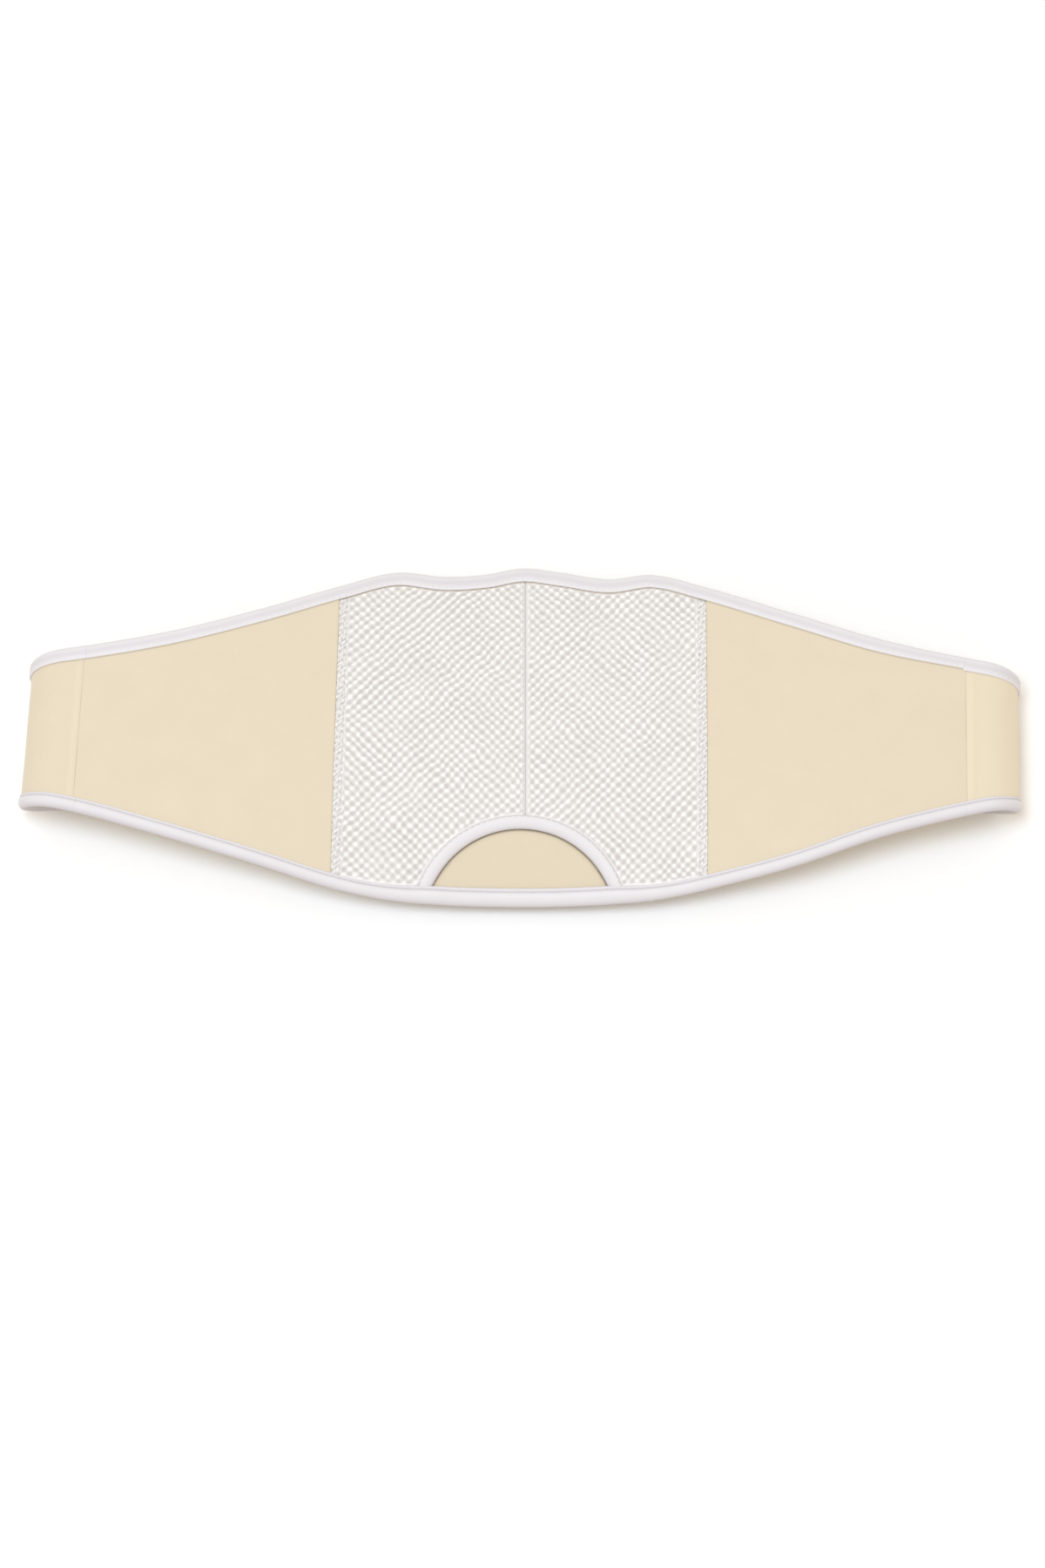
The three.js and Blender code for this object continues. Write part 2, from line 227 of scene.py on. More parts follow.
# Stretches of the edge bindings along the belt, joined at the end seams
STRETCHES = {
    "binding": (SEAM_GAP / 2 - WING_SEAM, WING_SEAM - SEAM_GAP / 2),
    "wing_binding_left": (-WING_END, -WING_SEAM - SEAM_GAP / 2),
    "wing_binding_right": (WING_SEAM + SEAM_GAP / 2, WING_END),
}

SOLVING_PASSES = 12
SHARP_ANGLE = radians(55)

# The solids' frame: the tab is centred on the middle of the back
TAB_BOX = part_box("hook_tab")
ORIGIN = (TAB_BOX[0] + TAB_BOX[1]) / 2 - Vector((0, TAB_MIDDLE, 0))
ORIGIN.z = 0


# The belt's surface


def smoothstep(value, low, high):
    """0 below low, 1 above high and a smooth rise between."""
    t = np.clip((value - low) / (high - low), 0, 1)
    return t * t * (3 - 2 * t)


def bell(offset, half):
    """A bell curve: 1 in the middle, nearly 0 at twice that half width from it."""
    return np.exp(-((offset / half) ** 2))


def edge_at(column, along):
    """Height of the upper or lower edge along the belt: a smooth curve through the stations."""
    x, y = EDGES["along"], EDGES[column]
    slope = np.concatenate(
        [
            [(y[1] - y[0]) / (x[1] - x[0])],
            (y[2:] - y[:-2]) / (x[2:] - x[:-2]),
            [(y[-1] - y[-2]) / (x[-1] - x[-2])],
        ]
    )
    i = np.clip(np.searchsorted(x, along, side="right") - 1, 0, len(x) - 2)
    length = x[i + 1] - x[i]
    t = np.clip((along - x[i]) / length, 0, 1)
    bend = t * t * (3 - 2 * t)
    swing = length * t * (1 - t) * ((1 - t) * slope[i] - t * slope[i + 1])
    return y[i] + (y[i + 1] - y[i]) * bend + swing


def edge_rise(column, along):
    """Slope of the upper or lower edge."""
    step = 0.5 * MM
    return (edge_at(column, along + step) - edge_at(column, along - step)) / (2 * step)


def edge_width(column, along):
    """Share of its usual width that an edge tape has at places along the belt."""
    middle = 1 - smoothstep(np.abs(along), *WIDE_MIDDLE)
    if column == "lower":
        return 1 + LOWER_MIDDLE_GAIN * middle
    end = smoothstep(along, WING_SEAM - NARROWING, WING_SEAM) * (along < WING_SEAM)
    return UPPER_SHARE + UPPER_MIDDLE_GAIN * middle - UPPER_END_LOSS * end


def belt_point(along, height):
    """Middle of the cloth at distances along the belt and heights across it."""
    side = np.where(along < 0, -1.0, 1.0)
    distance = np.abs(along)
    share = np.minimum(1, distance / FOLD_START)
    slack = (1 + np.cos(pi * share)) / 2
    droop = np.where(height > 0, UPPER_DROOP, LOWER_DROOP)
    sink = slack * droop * (height / DROOP_REACH) ** 2
    front = FRONT_END_HEIGHT + (FRONT_MIDDLE_HEIGHT - FRONT_END_HEIGHT) * slack - sink
    turned = np.clip((distance - FOLD_START) / FOLD_RADIUS, 0, pi)
    fold = BACK_HEIGHT + FOLD_RADIUS * (1 + np.cos(turned))
    past = np.maximum(0, distance - FOLD_START - FOLD_LENGTH)
    climb = np.where(side > 0, STEP_UP * smoothstep(distance, STEP_START, STEP_END), 0)
    x = np.minimum(distance, FOLD_START) + FOLD_RADIUS * np.sin(turned) - past
    z = np.where(turned > 0, fold + climb, front)
    lean = np.where(side < 0, LEFT_LEAN, RIGHT_LEAN) * height * share**LEAN_GROWTH
    pull = bell(along + MESH_SEAM, PULL_REACH) * (LEFT_PULL - PULL_LEAN * height)
    return np.stack([side * (x - lean) - pull, height + 0 * x, z], axis=-1) + np.array(ORIGIN)


def unit(vectors):
    """Vectors of the same directions, 1 long."""
    return vectors / np.linalg.norm(vectors, axis=-1, keepdims=True)


def cloth_normal(along, height):
    """Unit normals of the belt's surface, on the side that faces away from the body."""
    step = 0.05 * MM
    across = belt_point(along, height + step) - belt_point(along, height - step)
    lengthwise = belt_point(along + step, height) - belt_point(along - step, height)
    return unit(np.cross(lengthwise, across))


def off_cloth(along, height, out):
    """Points that far out of the cloth's middle."""
    along, height, out = np.broadcast_arrays(along, height, out)
    return belt_point(along, height) + cloth_normal(along, height) * out[..., None]


def ripple(along, height, amount, length, seed):
    """A smooth random wave of about that wavelength, mostly up to that amount either way."""
    waves, shortest, longest = 7, 0.75, 1.4
    random = np.random.default_rng(seed)
    total = np.zeros(np.broadcast_shapes(np.shape(along), np.shape(height)))
    for _ in range(waves):
        angle = random.uniform(0, 2 * pi)
        phase = random.uniform(0, 2 * pi)
        turns = 2 * pi / (length * random.uniform(shortest, longest))
        total += np.cos(turns * (cos(angle) * along + sin(angle) * height) + phase)
    return amount * (total / waves**0.5)


def inside_edge(column, along, height):
    """How far a place lies in from the upper or lower edge, square to it."""
    return np.abs(edge_at(column, along) - height) / np.hypot(1, edge_rise(column, along))


def inside_bindings(along, height):
    """How far a place lies in from the nearer of the belt's two outer edges."""
    return np.minimum(inside_edge("upper", along, height), inside_edge("lower", along, height))


def past_tape(column, along, height):
    """How far a place lies past the edge of the upper or lower tape."""
    return inside_edge(column, along, height) - BINDING_WIDTH * edge_width(column, along)


def from_arch(along, height):
    """How far a place lies outside the half-moon opening's edge."""
    return np.hypot(along - ARCH_MIDDLE, height - ARCH_CENTRE) - ARCH_RADIUS


# Finishes


class Signal:
    """A shader socket that takes part in arithmetic: each operation adds a Math node."""

    def __init__(self, finish, socket):
        self.finish = finish
        self.socket = socket

    def math(self, operation, *values):
        sockets = dict(enumerate(values))
        return self.finish.node("ShaderNodeMath", {"operation": operation}, sockets)

    def __add__(self, other):
        return self.math("ADD", self, other)

    def __sub__(self, other):
        return self.math("SUBTRACT", self, other)

    def __rsub__(self, other):
        return self.math("SUBTRACT", other, self)

    def __mul__(self, other):
        return self.math("MULTIPLY", self, other)

    __radd__ = __add__
    __rmul__ = __mul__

    def waves(self, pitch):
        """A sine wave of that pitch."""
        return self.math("SINE", self * (2 * pi / pitch))

    def bell(self, middle, half):
        """A bell curve of that half width round a middle."""
        offset = (self - middle) * (1 / half)
        return self.math("EXPONENT", 0 - offset * offset)


class Finish:
    """A material under construction."""

    sheen_roughness = 0.5
    specular = 0.25

    def __init__(self, name, roughness, sheen):
        self.material = bpy.data.materials.new(name)
        self.material.use_nodes = True
        self.tree = self.material.node_tree
        self.shader = self.tree.nodes["Principled BSDF"]
        fixed = {
            "Roughness": roughness,
            "Sheen Weight": sheen,
            "Sheen Roughness": self.sheen_roughness,
            "Specular IOR Level": self.specular,
        }
        self.set(self.shader, fixed)

    def set(self, node, sockets):
        for key, value in sockets.items():
            if isinstance(value, Signal):
                self.tree.links.new(value.socket, node.inputs[key])
            else:
                node.inputs[key].default_value = value

    def node(self, kind, settings=None, sockets=None, output=0):
        node = self.tree.nodes.new(kind)
        for key, value in (settings or {}).items():
            setattr(node, key, value)
        self.set(node, sockets or {})
        return Signal(self, node.outputs[output])

    def mix(self, share, first, second):
        """A colour between two others."""
        sockets = {0: share, 6: first, 7: second}  # the node's factor and its two colours
        return self.node("ShaderNodeMix", {"data_type": "RGBA"}, sockets, output=2)

    def tones(self, share, colour, low, high):
        """A colour between two shades of one colour."""
        return self.mix(share, shaded(colour, low), shaded(colour, high))

    def noise(self, place, size, detail=2.0):
        """A noise whose lumps are about that large."""
        sockets = {"Vector": place, "Scale": 1 / size, "Detail": detail}
        return self.node("ShaderNodeTexNoise", {}, sockets)

    def belt_place(self):
        """Places on the piece's own map."""
        return self.node("ShaderNodeUVMap", {"uv_map": UV_NAME})

    def object_place(self):
        """Places in the object's own space."""
        return self.node("ShaderNodeTexCoord", output="Object")

    def along_and_across(self, place):
        """The first two directions of a place."""
        sockets = {"Vector": place}
        return [self.node("ShaderNodeSeparateXYZ", {}, sockets, axis) for axis in "XY"]

    def value(self, name):
        """A named value of the piece's points."""
        return self.node("ShaderNodeAttribute", {"attribute_name": name}, output="Fac")

    def finish(self, colour, height, distance, strength):
        """Feeds the colour and a bump of that depth to the shader."""
        sockets = {"Height": height, "Distance": distance, "Strength": strength}
        bump = self.node("ShaderNodeBump", {}, sockets)
        self.set(self.shader, {"Base Color": colour, "Normal": bump})
        return self.material


def opaque(colour):
    """A colour as a colour socket takes it."""
    return (*colour, 1.0)


def shaded(colour, share):
    """The same, darker or paler."""
    return opaque(share * channel for channel in colour)


def cream_finish(colours):
    """Brushed knit: soft lumps, a fine nap, faint upright wales, a painted shadow line at the upper
    tape, painted shade and painted light.
    """
    make = Finish("cream brushed knit", roughness=0.92, sheen=0.25)
    place = make.belt_place()
    along, across = make.along_and_across(place)
    wale, course = along.waves(0.9 * MM), across.waves(0.7 * MM)
    nap = make.noise(place, 0.5 * MM, detail=3.0)
    cloud = make.noise(place, 14 * MM, detail=3.0)
    tone = cloud * 0.7 + nap * 0.5 - 0.1
    # a painted shadow line along the upper tape, on top of each piece's painted shade
    line = make.value("past_tape").bell(TAPE_LINE_AT, TAPE_LINE_HALF)
    painted_shade = make.value("painted_shade") + line * TAPE_LINE_SHADE
    colour = make.tones(tone, colours.cream, 0.955, 1.03)
    colour = make.mix(painted_shade, colour, opaque(colours.painted_shade_colour))
    # painted light: paler cloth on the wings, most on the right fold and the end-seam ridges
    colour = make.mix(make.value("painted_light"), colour, shaded(colours.cream, 1.1))
    height = nap * 0.7 + wale * course * 0.12 + wale * 0.08
    return make.finish(colour, height, distance=0.25 * MM, strength=0.35)


def mesh_finish(colours):
    """Spacer mesh: bright puffed knots, painted shade in its dents, loose yarn and painted shadow
    lines at the tapes.
    """
    make = Finish("white spacer mesh", roughness=0.85, sheen=0.15)
    place = make.belt_place()
    yarn = make.noise(place, 0.55 * MM, detail=3.0)
    cloud = make.noise(place, 20 * MM)
    # painted shade: greyer in the dents and on the flat strips, with random yarn and patches
    share = make.value("dent_and_shade") * 0.9 + (yarn - 0.5) * 0.35 + (cloud - 0.5) * 0.2
    colour = make.mix(share, opaque(colours.mesh_knot), opaque(colours.mesh_dent_shade))
    # painted shadow lines along the upper tape and the arch's tape
    colour = make.mix(make.value("painted_shade"), colour, opaque(colours.painted_shade_colour))
    return make.finish(colour, yarn, distance=0.3 * MM, strength=0.4)


def tape_finish(colours):
    """Folded satin tape: fine slanting twill, with painted shade in its sewn ditch and towards its
    fold.
    """
    make = Finish("white satin tape", roughness=0.6, sheen=0.2)
    place = make.belt_place()
    along, across = make.along_and_across(place)
    twill = (along + across).waves(0.7 * MM)
    weave = make.noise(place, 0.4 * MM)
    cloud = make.noise(place, 9 * MM)
    colour = make.tones(cloud, colours.tape, 0.97, 1.02)
    # painted shade in the sewn ditch, towards the fold and over the upper tape's body
    colour = make.mix(make.value("painted_shade"), colour, opaque(colours.tape_shade_colour))
    return make.finish(colour, twill * 0.25 + weave * 0.6, distance=0.12 * MM, strength=0.35)


def thread_finish(colours):
    """Spun sewing thread."""
    make = Finish("sewing thread", roughness=0.7, sheen=0.1)
    ply = make.noise(make.object_place(), 0.3 * MM)
    colour = make.tones(ply, colours.thread, 0.85, 1.1)
    return make.finish(colour, ply, distance=0.1 * MM, strength=0.5)


def hook_finish(colours):
    """Hook tape: close rows of tiny knobs."""
    make = Finish("hook tape", roughness=0.8, sheen=0.05)
    place = make.object_place()
    along, across = make.along_and_across(place)
    knobs = along.waves(1.4 * MM) * across.waves(1.1 * MM)
    fuzz = make.noise(place, 0.5 * MM)
    tone = knobs * 0.3 + fuzz * 0.7
    colour = make.tones(tone, colours.hook, 0.85, 1.05)
    return make.finish(colour, knobs * 0.5 + fuzz * 0.4, distance=0.3 * MM, strength=0.5)


def floor_finish(colour):
    """Plain white paper with a faint tooth."""
    make = Finish("white paper", roughness=0.95, sheen=0.0)
    tooth = make.noise(make.object_place(), 1.5 * MM)
    tone = make.tones(tooth, colour, 0.995, 1.0)
    return make.finish(tone, tooth, distance=0.05 * MM, strength=0.1)


# How each kind of cloth and thread is finished, and its slot in the record
FINISHES = {
    "cream": (cream_finish, "cream_cloth"),
    "mesh": (mesh_finish, "white_mesh"),
    "tape": (tape_finish, "white_binding"),
    "thread": (thread_finish, "white_binding"),
    "hook": (hook_finish, "hook_tape"),
}


def dress(context, piece, kind):
    """Puts a piece on the belt's body in the finish of that kind, which is made on first use."""
    make, slot = FINISHES[kind]
    key = "belt_finish_" + kind
    if context.scene.get(key) is None:
        context.scene[key] = make(context.scene.belt_colours)
    piece.data.materials.append(context.scene[key])
    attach(piece, BODY)


# Settings


def number_setting(label, use, default, **kind):
    return FloatProperty(name=label, description=use, default=default, **kind)


def length_setting(label, use, default):
    return number_setting(label, use, default, unit="LENGTH", min=0, precision=5)


def colour_setting(label, use, default):
    kind = {"subtype": "COLOR", "size": 3, "min": 0, "max": 1}
    return FloatVectorProperty(name=label, description=use, default=default, **kind)


def record_colour(slot):
    """Base colour of one of the record's slots."""
    materials = {material["slot"]: material for material in frame["record"]["materials"]}
    return tuple(materials[slot]["base_color"])


class BeltColours(bpy.types.PropertyGroup):
    """Colours of the cloth, mesh, tape and thread."""

    cream: colour_setting("Cream cloth", "Colour of the cloth panels", (0.692, 0.606, 0.458))
    # painted shade colour: shadow lines along the tapes, shade at the mesh seams and over the
    # half-moon insert
    painted_shade_colour: colour_setting("Creases", "Cloth in its creases", (0.36, 0.29, 0.20))
    mesh_knot: colour_setting("Mesh knots", "Raised knots of the mesh", (0.94, 0.914, 0.888))
    # painted shade in the dents of the mesh
    mesh_dent_shade: colour_setting("Mesh dents", "Dents of the mesh", (0.515, 0.485, 0.464))
    tape: colour_setting("Tape", "Folded binding tape", (0.738, 0.714, 0.731))
    # painted shade in the tape's sewn ditch and towards its fold
    tape_shade_colour: colour_setting("Tape ditch", "Sewn ditch of the tape", (0.56, 0.525, 0.545))
    thread: colour_setting("Thread", "Stitches", (0.64, 0.62, 0.643))
    hook: colour_setting("Hook tape", "Hidden closure", record_colour("hook_tape"))


class BeltSizes(bpy.types.PropertyGroup):
    """Sizes of the relief, the ripples and the stitches."""

    knot_pitch: length_setting("Knot pitch", "Distance between knots in a row", 4.65 * MM)
    knot_rise: length_setting("Knot rise", "How far the knots stand out of the panel", 0.25 * MM)
    dent_depth: length_setting("Dent depth", "From a knot to the bottom of a dent", 0.95 * MM)
    mesh_step: length_setting("Mesh step", "Distance between points on the mesh", 0.565 * MM)
    cloth_step: length_setting("Cloth step", "Distance between points on the cloth", 1.5 * MM)
    tape_step: length_setting("Tape step", "Distance between sections of the tape", 0.8 * MM)
    cloth_wave: length_setting("Cloth wave", "Height of the cloth's soft waves", 0.22 * MM)
    pucker: length_setting("Pucker", "Height of the puckers at the bindings", 0.12 * MM)
    seam_ridge: length_setting("Seam ridge", "Height of the ridge at the end seams", 0.5 * MM)
    stitch_pitch: length_setting("Stitch pitch", "From stitch to stitch", 3.0 * MM)
    stitch_length: length_setting("Stitch length", "Length of a stitch", 2.3 * MM)
    thread_width: length_setting("Thread width", "Width of the thread", 0.42 * MM)


class BeltStage(bpy.types.PropertyGroup):
    """Camera, light and floor."""

    elevation: number_setting("Camera angle", "Angle above the floor", radians(72), subtype="ANGLE")
    distance: length_setting("Camera distance", "From the camera to the belt", 2.2)
    lens: number_setting("Lens", "Focal length", 109.7, unit="CAMERA", min=1)
    aim_across: length_setting("Aim", "How far below the belt's axis the camera aims", 22 * MM)
    aim_height: length_setting("Aim height", "Height that the camera aims at", 25 * MM)
    floor_size: length_setting("Floor size", "Side of the floor", 12.0)
    floor_colour: colour_setting("Floor colour", "Colour of the paper", (0.946, 0.932, 0.911))
    sky: number_setting("Fill strength", "Strength of the light from all round", 0.79, min=0)
    sky_colour: colour_setting("Fill colour", "Colour of the even light", (1.0, 0.91, 0.776))
    key_power: number_setting("Key power", "Power of the soft box", 42.8, unit="POWER", min=0)
    key_colour: colour_setting("Key colour", "Colour of the soft box", (0.714, 0.829, 1.0))
    key_size: length_setting("Key size", "Side of the soft box", 0.9)


# Closed walls of cloth


def columns_between(start, stop, pitch, edge_steps):
    """Places along a panel: even, with some close steps at both of its seams."""
    count = max(2, round((stop - start - 2 * edge_steps[-1]) / pitch))
    middle = np.linspace(start + edge_steps[-1], stop - edge_steps[-1], count + 1)
    close = np.array(edge_steps[:-1])
    return np.concatenate([start + close, middle, (stop - close)[::-1]])


def lattice(columns, lower, upper, pitch):
    """An even lattice between a lower and an upper edge: its heights, and faces over its points.

    The outermost point of each column is moved onto the edge, so that the outline is exact.
    """
    start = lower.min() - pitch
    first = np.rint((lower - start) / pitch).astype(int)
    last = np.rint((upper - start) / pitch).astype(int)
    rows = last.max() + 2
    row = np.arange(rows)
    height = np.tile(start + pitch * row, (len(columns), 1))
    every = np.arange(len(columns))
    height[every, first] = lower
    height[every, last] = upper
    index = every[:, None] * rows + np.clip(row, first[:, None], last[:, None])
    quads = grid_quads(index)
    left = quads[:, 0] == quads[:, 3]
    right = quads[:, 1] == quads[:, 2]
    whole = quads[~left & ~right]
    pointed = [quads[left & ~right][:, [0, 1, 2]], quads[right & ~left][:, [0, 1, 3]]]
    faces = whole.tolist() + np.concatenate(pointed).tolist()
    corners = np.concatenate([np.ravel(face) for face in faces])
    used, order = np.unique(corners, return_inverse=True)
    renamed = iter(order.tolist())
    faces = [[next(renamed) for _ in face] for face in faces]
    along = np.repeat(columns, rows)[used]
    return along, height.ravel()[used], faces


def grid_quads(index):
    """Faces over a grid of points, columns first."""
    quads = np.stack([index[:-1, :-1], index[1:, :-1], index[1:, 1:], index[:-1, 1:]], axis=-1)
    return quads.reshape(-1, 4)


def closed_wall(front, back, faces):
    """Points and faces of a wall between two sheets that share their faces."""
    count = len(front)
    starts = np.array([point for face in faces for point in face])
    ends = np.array([point for face in faces for point in face[1:] + face[:1]])
    hem = ~np.isin(starts * count + ends, ends * count + starts)
    first, second = starts[hem], ends[hem]
    rim = np.stack([second, first, first + count, second + count], axis=-1)
    behind = [[point + count for point in reversed(face)] for face in faces]
    return np.concatenate([front, back]), faces + behind + rim.tolist()


def add_piece(context, name, kind, points, faces, places=None, values=None, stands_for=()):
    """A finished object on the belt's body, with its own UV map and named values on its points."""
    mesh = bpy.data.meshes.new(name)
    mesh.from_pydata(points.tolist(), [], faces)
    if places is not None:
        corner = np.empty(len(mesh.loops), np.int32)
        mesh.loops.foreach_get("vertex_index", corner)
        mesh.uv_layers.new(name=UV_NAME).uv.foreach_set("vector", places[corner].ravel())
    for key, value in (values or {}).items():
        mesh.attributes.new(key, "FLOAT", "POINT").data.foreach_set("value", value)
    mesh.shade_smooth()
    mesh.set_sharp_from_angle(angle=SHARP_ANGLE)
    mesh.update()
    piece = bpy.data.objects.new(name, mesh)
    context.scene.collection.objects.link(piece)
    dress(context, piece, kind)
    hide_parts(*stands_for)
    return piece


def add_wall(context, name, kind, along, height, outs, faces, values, stands_for):
    """A closed wall of cloth whose front and back lie that far out of the belt's surface."""
    front, back = (off_cloth(along, height, out) for out in outs)
    points, faces = closed_wall(front, back, faces)
    places = np.tile(np.stack([along, height], axis=-1), (2, 1))
    values = {key: np.tile(value, 2) for key, value in values.items()}
    return add_piece(context, name, kind, points, faces, places, values, [stands_for])


def area_under(heights, places):
    """Area under a line through points."""
    return float(np.sum((heights[1:] + heights[:-1]) / 2 * np.diff(places)))


def lower_hem(along):
    """Lower edge of the cloth, inside the lower binding."""
    return edge_at("lower", along) + CLOTH_INSET


class ClothPanel:
    """Places on the belt from seam to seam, hemmed inside the bindings."""

    def __init__(self, ends, pitch, edge_steps=SEAM_STEPS, lower_edge=lower_hem):
        self.start, self.stop = sorted(ends)
        self.columns = columns_between(self.start, self.stop, pitch, edge_steps)
        self.lower = lower_edge(self.columns)
        self.upper = edge_at("upper", self.columns) - CLOTH_INSET
        made = lattice(self.columns, self.lower, self.upper, pitch)
        self.along, self.height, self.faces = made

    def add(self, context, name, kind, outs, values, stands_for, held):
        """Makes the panel's wall; how large it was cut is worked out but not passed on."""
        piece = add_wall(
            context, name, kind, self.along, self.height, outs, self.faces, values, stands_for
        )
        flat = (float(np.ptp(self.columns)), float(self.upper.max() - self.lower.min()))
        area = area_under(self.upper - self.lower, self.columns)


def rolled(distance, depth, radius):
    """How far cloth sinks as it turns down at a seam."""
    near = np.clip(1 - distance / radius, 0, 1)
    return depth * (1 - np.sqrt(np.maximum(0, 1 - near**2)))


# Mesh


def mesh_lower_edge(along):
    """Lower edge of the mesh: inside the lower binding, or round the opening."""
    hem = lower_hem(along)
    reach = np.abs(along - ARCH_MIDDLE)
    inside = np.sqrt(np.maximum(0, MESH_CUT_RADIUS**2 - reach**2))
    return np.where(reach < MESH_CUT_RADIUS, np.maximum(hem, ARCH_CENTRE + inside), hem)


class BELT_OT_mesh_panels(bpy.types.Operator):
    """Front panel of knotted mesh, in two halves that meet at the centre seam"""

    bl_idname = "belt.mesh_panels"
    bl_label = "Mesh panels"

    edge_steps = SEAM_STEPS[:4]

    # Unevenness of the knots: amount, length and seed of the ripples
    drifts = (0.36 * MM, 17 * MM, 11), (0.36 * MM, 17 * MM, 12)  # of rows, along and across
    jitters = (0.2 * MM, 7 * MM, 17), (0.2 * MM, 7 * MM, 18)  # of single knots
    row_change = (0.18, 45 * MM, 13)  # patches where the rows of one slant are stronger
    knot_change = (0.27, 4 * MM, 14)
    patch_change = (0.16, 30 * MM, 15)
    speck = (1.0, 2.1 * MM, 16)  # small lumps that are left of the knots in the side strips

    streak_loss = 0.45  # a patch with weak rising rows
    streak_along, streak_wide = -48 * MM, 30 * MM
    streak_height, streak_tall = 50 * MM, 26 * MM
    knot_power = 1.5  # how narrow the tops of the knots are

    centre_strip, side_strip = 1.5 * MM, 4.3 * MM  # widths of the flat strips at the seams
    strip_before, strip_after = 1 * MM, 0.6 * MM  # where the knots start and are full at a strip
    tape_fade = 1.4 * MM  # how far past a tape the knots are full
    strip_sink = 0.12 * MM
    centre_shade, side_shade, rim_shade = 0.72, 0.68, 0.35  # how grey, as shares of a dent
    speck_depth, speck_shade = 0.1 * MM, 0.32
    back_share = 0.4  # how much of the relief shows on the back
    arch_line_at, arch_line_half = 0.15 * MM, 0.35 * MM  # painted shadow line on the mesh at the arch's tape
    arch_line_shade = 0.22

    def execute(self, context):
        for name, side in SIDES.items():
            inner = CENTRE_SEAM + side * SEAM_GAP / 2
            outer = side * (MESH_SEAM - SEAM_GAP / 2)
            self.half(context, name, (inner, outer))
        return {"FINISHED"}

    def half(self, context, name, ends):
        sizes = context.scene.belt_sizes
        panel = ClothPanel(ends, sizes.mesh_step, self.edge_steps, mesh_lower_edge)
        along, height = panel.along, panel.height
        open_centre = self.past_strip(np.abs(along - CENTRE_SEAM), self.centre_strip)
        open_side = self.past_strip(MESH_SEAM - np.abs(along), self.side_strip)
        past_upper = past_tape("upper", along, height)
        past_arch = from_arch(along, height) - ARCH_WIDTH
        past = np.minimum.reduce((past_upper, past_tape("lower", along, height), past_arch))
        knotted = open_centre * open_side * smoothstep(past, 0, self.tape_fade)
        dent_and_shade = self.dents(along, height, sizes.knot_pitch)
        specks = (1 - open_side) * ripple(along, height, *self.speck)
        relief = knotted * (sizes.knot_rise - sizes.dent_depth * dent_and_shade) - self.speck_depth * specks
        flat = -self.strip_sink * (1 - knotted)
        sunk = rolled(np.minimum(along - panel.start, panel.stop - along), *KNIT_ROLL)
        front = CLOTH / 2 + relief + flat - sunk
        back = -CLOTH / 2 - self.back_share * relief + self.back_share * sunk
        # painted shade: dents greyer, flat strips grey, with random specks
        greys = (
            knotted * dent_and_shade,
            self.rim_shade * (1 - knotted),
            self.centre_shade * (1 - open_centre),
            self.side_shade * (1 - open_side),
        )
        shade = np.maximum.reduce(greys) + self.speck_shade * specks
        # painted shadow lines along the upper tape and the arch's tape
        tape_line = bell(past_upper - TAPE_LINE_AT, TAPE_LINE_HALF)
        arch_line = bell(past_arch - self.arch_line_at, self.arch_line_half)
        painted_shade = np.maximum(tape_line, self.arch_line_shade * arch_line)
        values = {"dent_and_shade": shade, "painted_shade": painted_shade}
        node = "mesh_panel_" + name
        panel.add(context, "front_mesh_" + name, "mesh", (front, back), values, node, "laid")

    def past_strip(self, distance, width):
        """0 on a strip and 1 past it."""
        return smoothstep(distance, width - self.strip_before, width + self.strip_after)

    def dents(self, along, height, pitch):
        """0 on the knots and 1 in the dents of a slightly uneven diagonal lattice."""

        def uneven(change):
            return ripple(along, height, *change)

        x, y = along, height
        for change_along, change_across in (self.drifts, self.jitters):
            x = x + uneven(change_along)
            y = y + uneven(change_across)
        streaks = bell(along - self.streak_along, self.streak_wide)
        streaks = streaks * bell(height - self.streak_height, self.streak_tall)
        rising = 1 + uneven(self.row_change) - self.streak_loss * streaks
        falling = 2 - rising
        turns = 2 * pi / pitch
        wave = rising * np.cos(turns * (x + y)) + falling * np.cos(turns * (x - y))
        knot, patch = 1 + uneven(self.knot_change), 1 + uneven(self.patch_change)
        return 1 - np.clip((1 + wave * knot * patch / 2) / 2, 0, 1) ** self.knot_power


# Cream cloth


def cloth_outs(sizes, along, height, seed):
    """Front and back of plain cloth: soft waves, with puckers that fade away from the bindings."""
    held, loose = BINDING_WIDTH - 1 * MM, BINDING_WIDTH + 4 * MM
    wave_length = 48 * MM
    pucker_length, pucker_stretch, pucker_reach = 10 * MM, 0.25, 9 * MM
    bound = inside_bindings(along, height)
    waves = ripple(along, height, sizes.cloth_wave, wave_length, seed)
    near = np.exp(-np.maximum(0, bound - BINDING_WIDTH) / pucker_reach)
    puckers = ripple(along, pucker_stretch * height, 1, pucker_length, seed + 1)
    lift = smoothstep(bound, held, loose) * (waves + sizes.pucker * near * puckers)
    return CLOTH / 2 + lift, -CLOTH / 2 + lift


def add_cream(context, name, panel, outs, sunk, values, stands_for, held):
    """A panel of cream cloth that sinks at its seams, with the tape's line in its finish."""
    front, back = outs
    values["past_tape"] = past_tape("upper", panel.along, panel.height)
    panel.add(context, name, "cream", (front - sunk, back + sunk), values, stands_for, held)


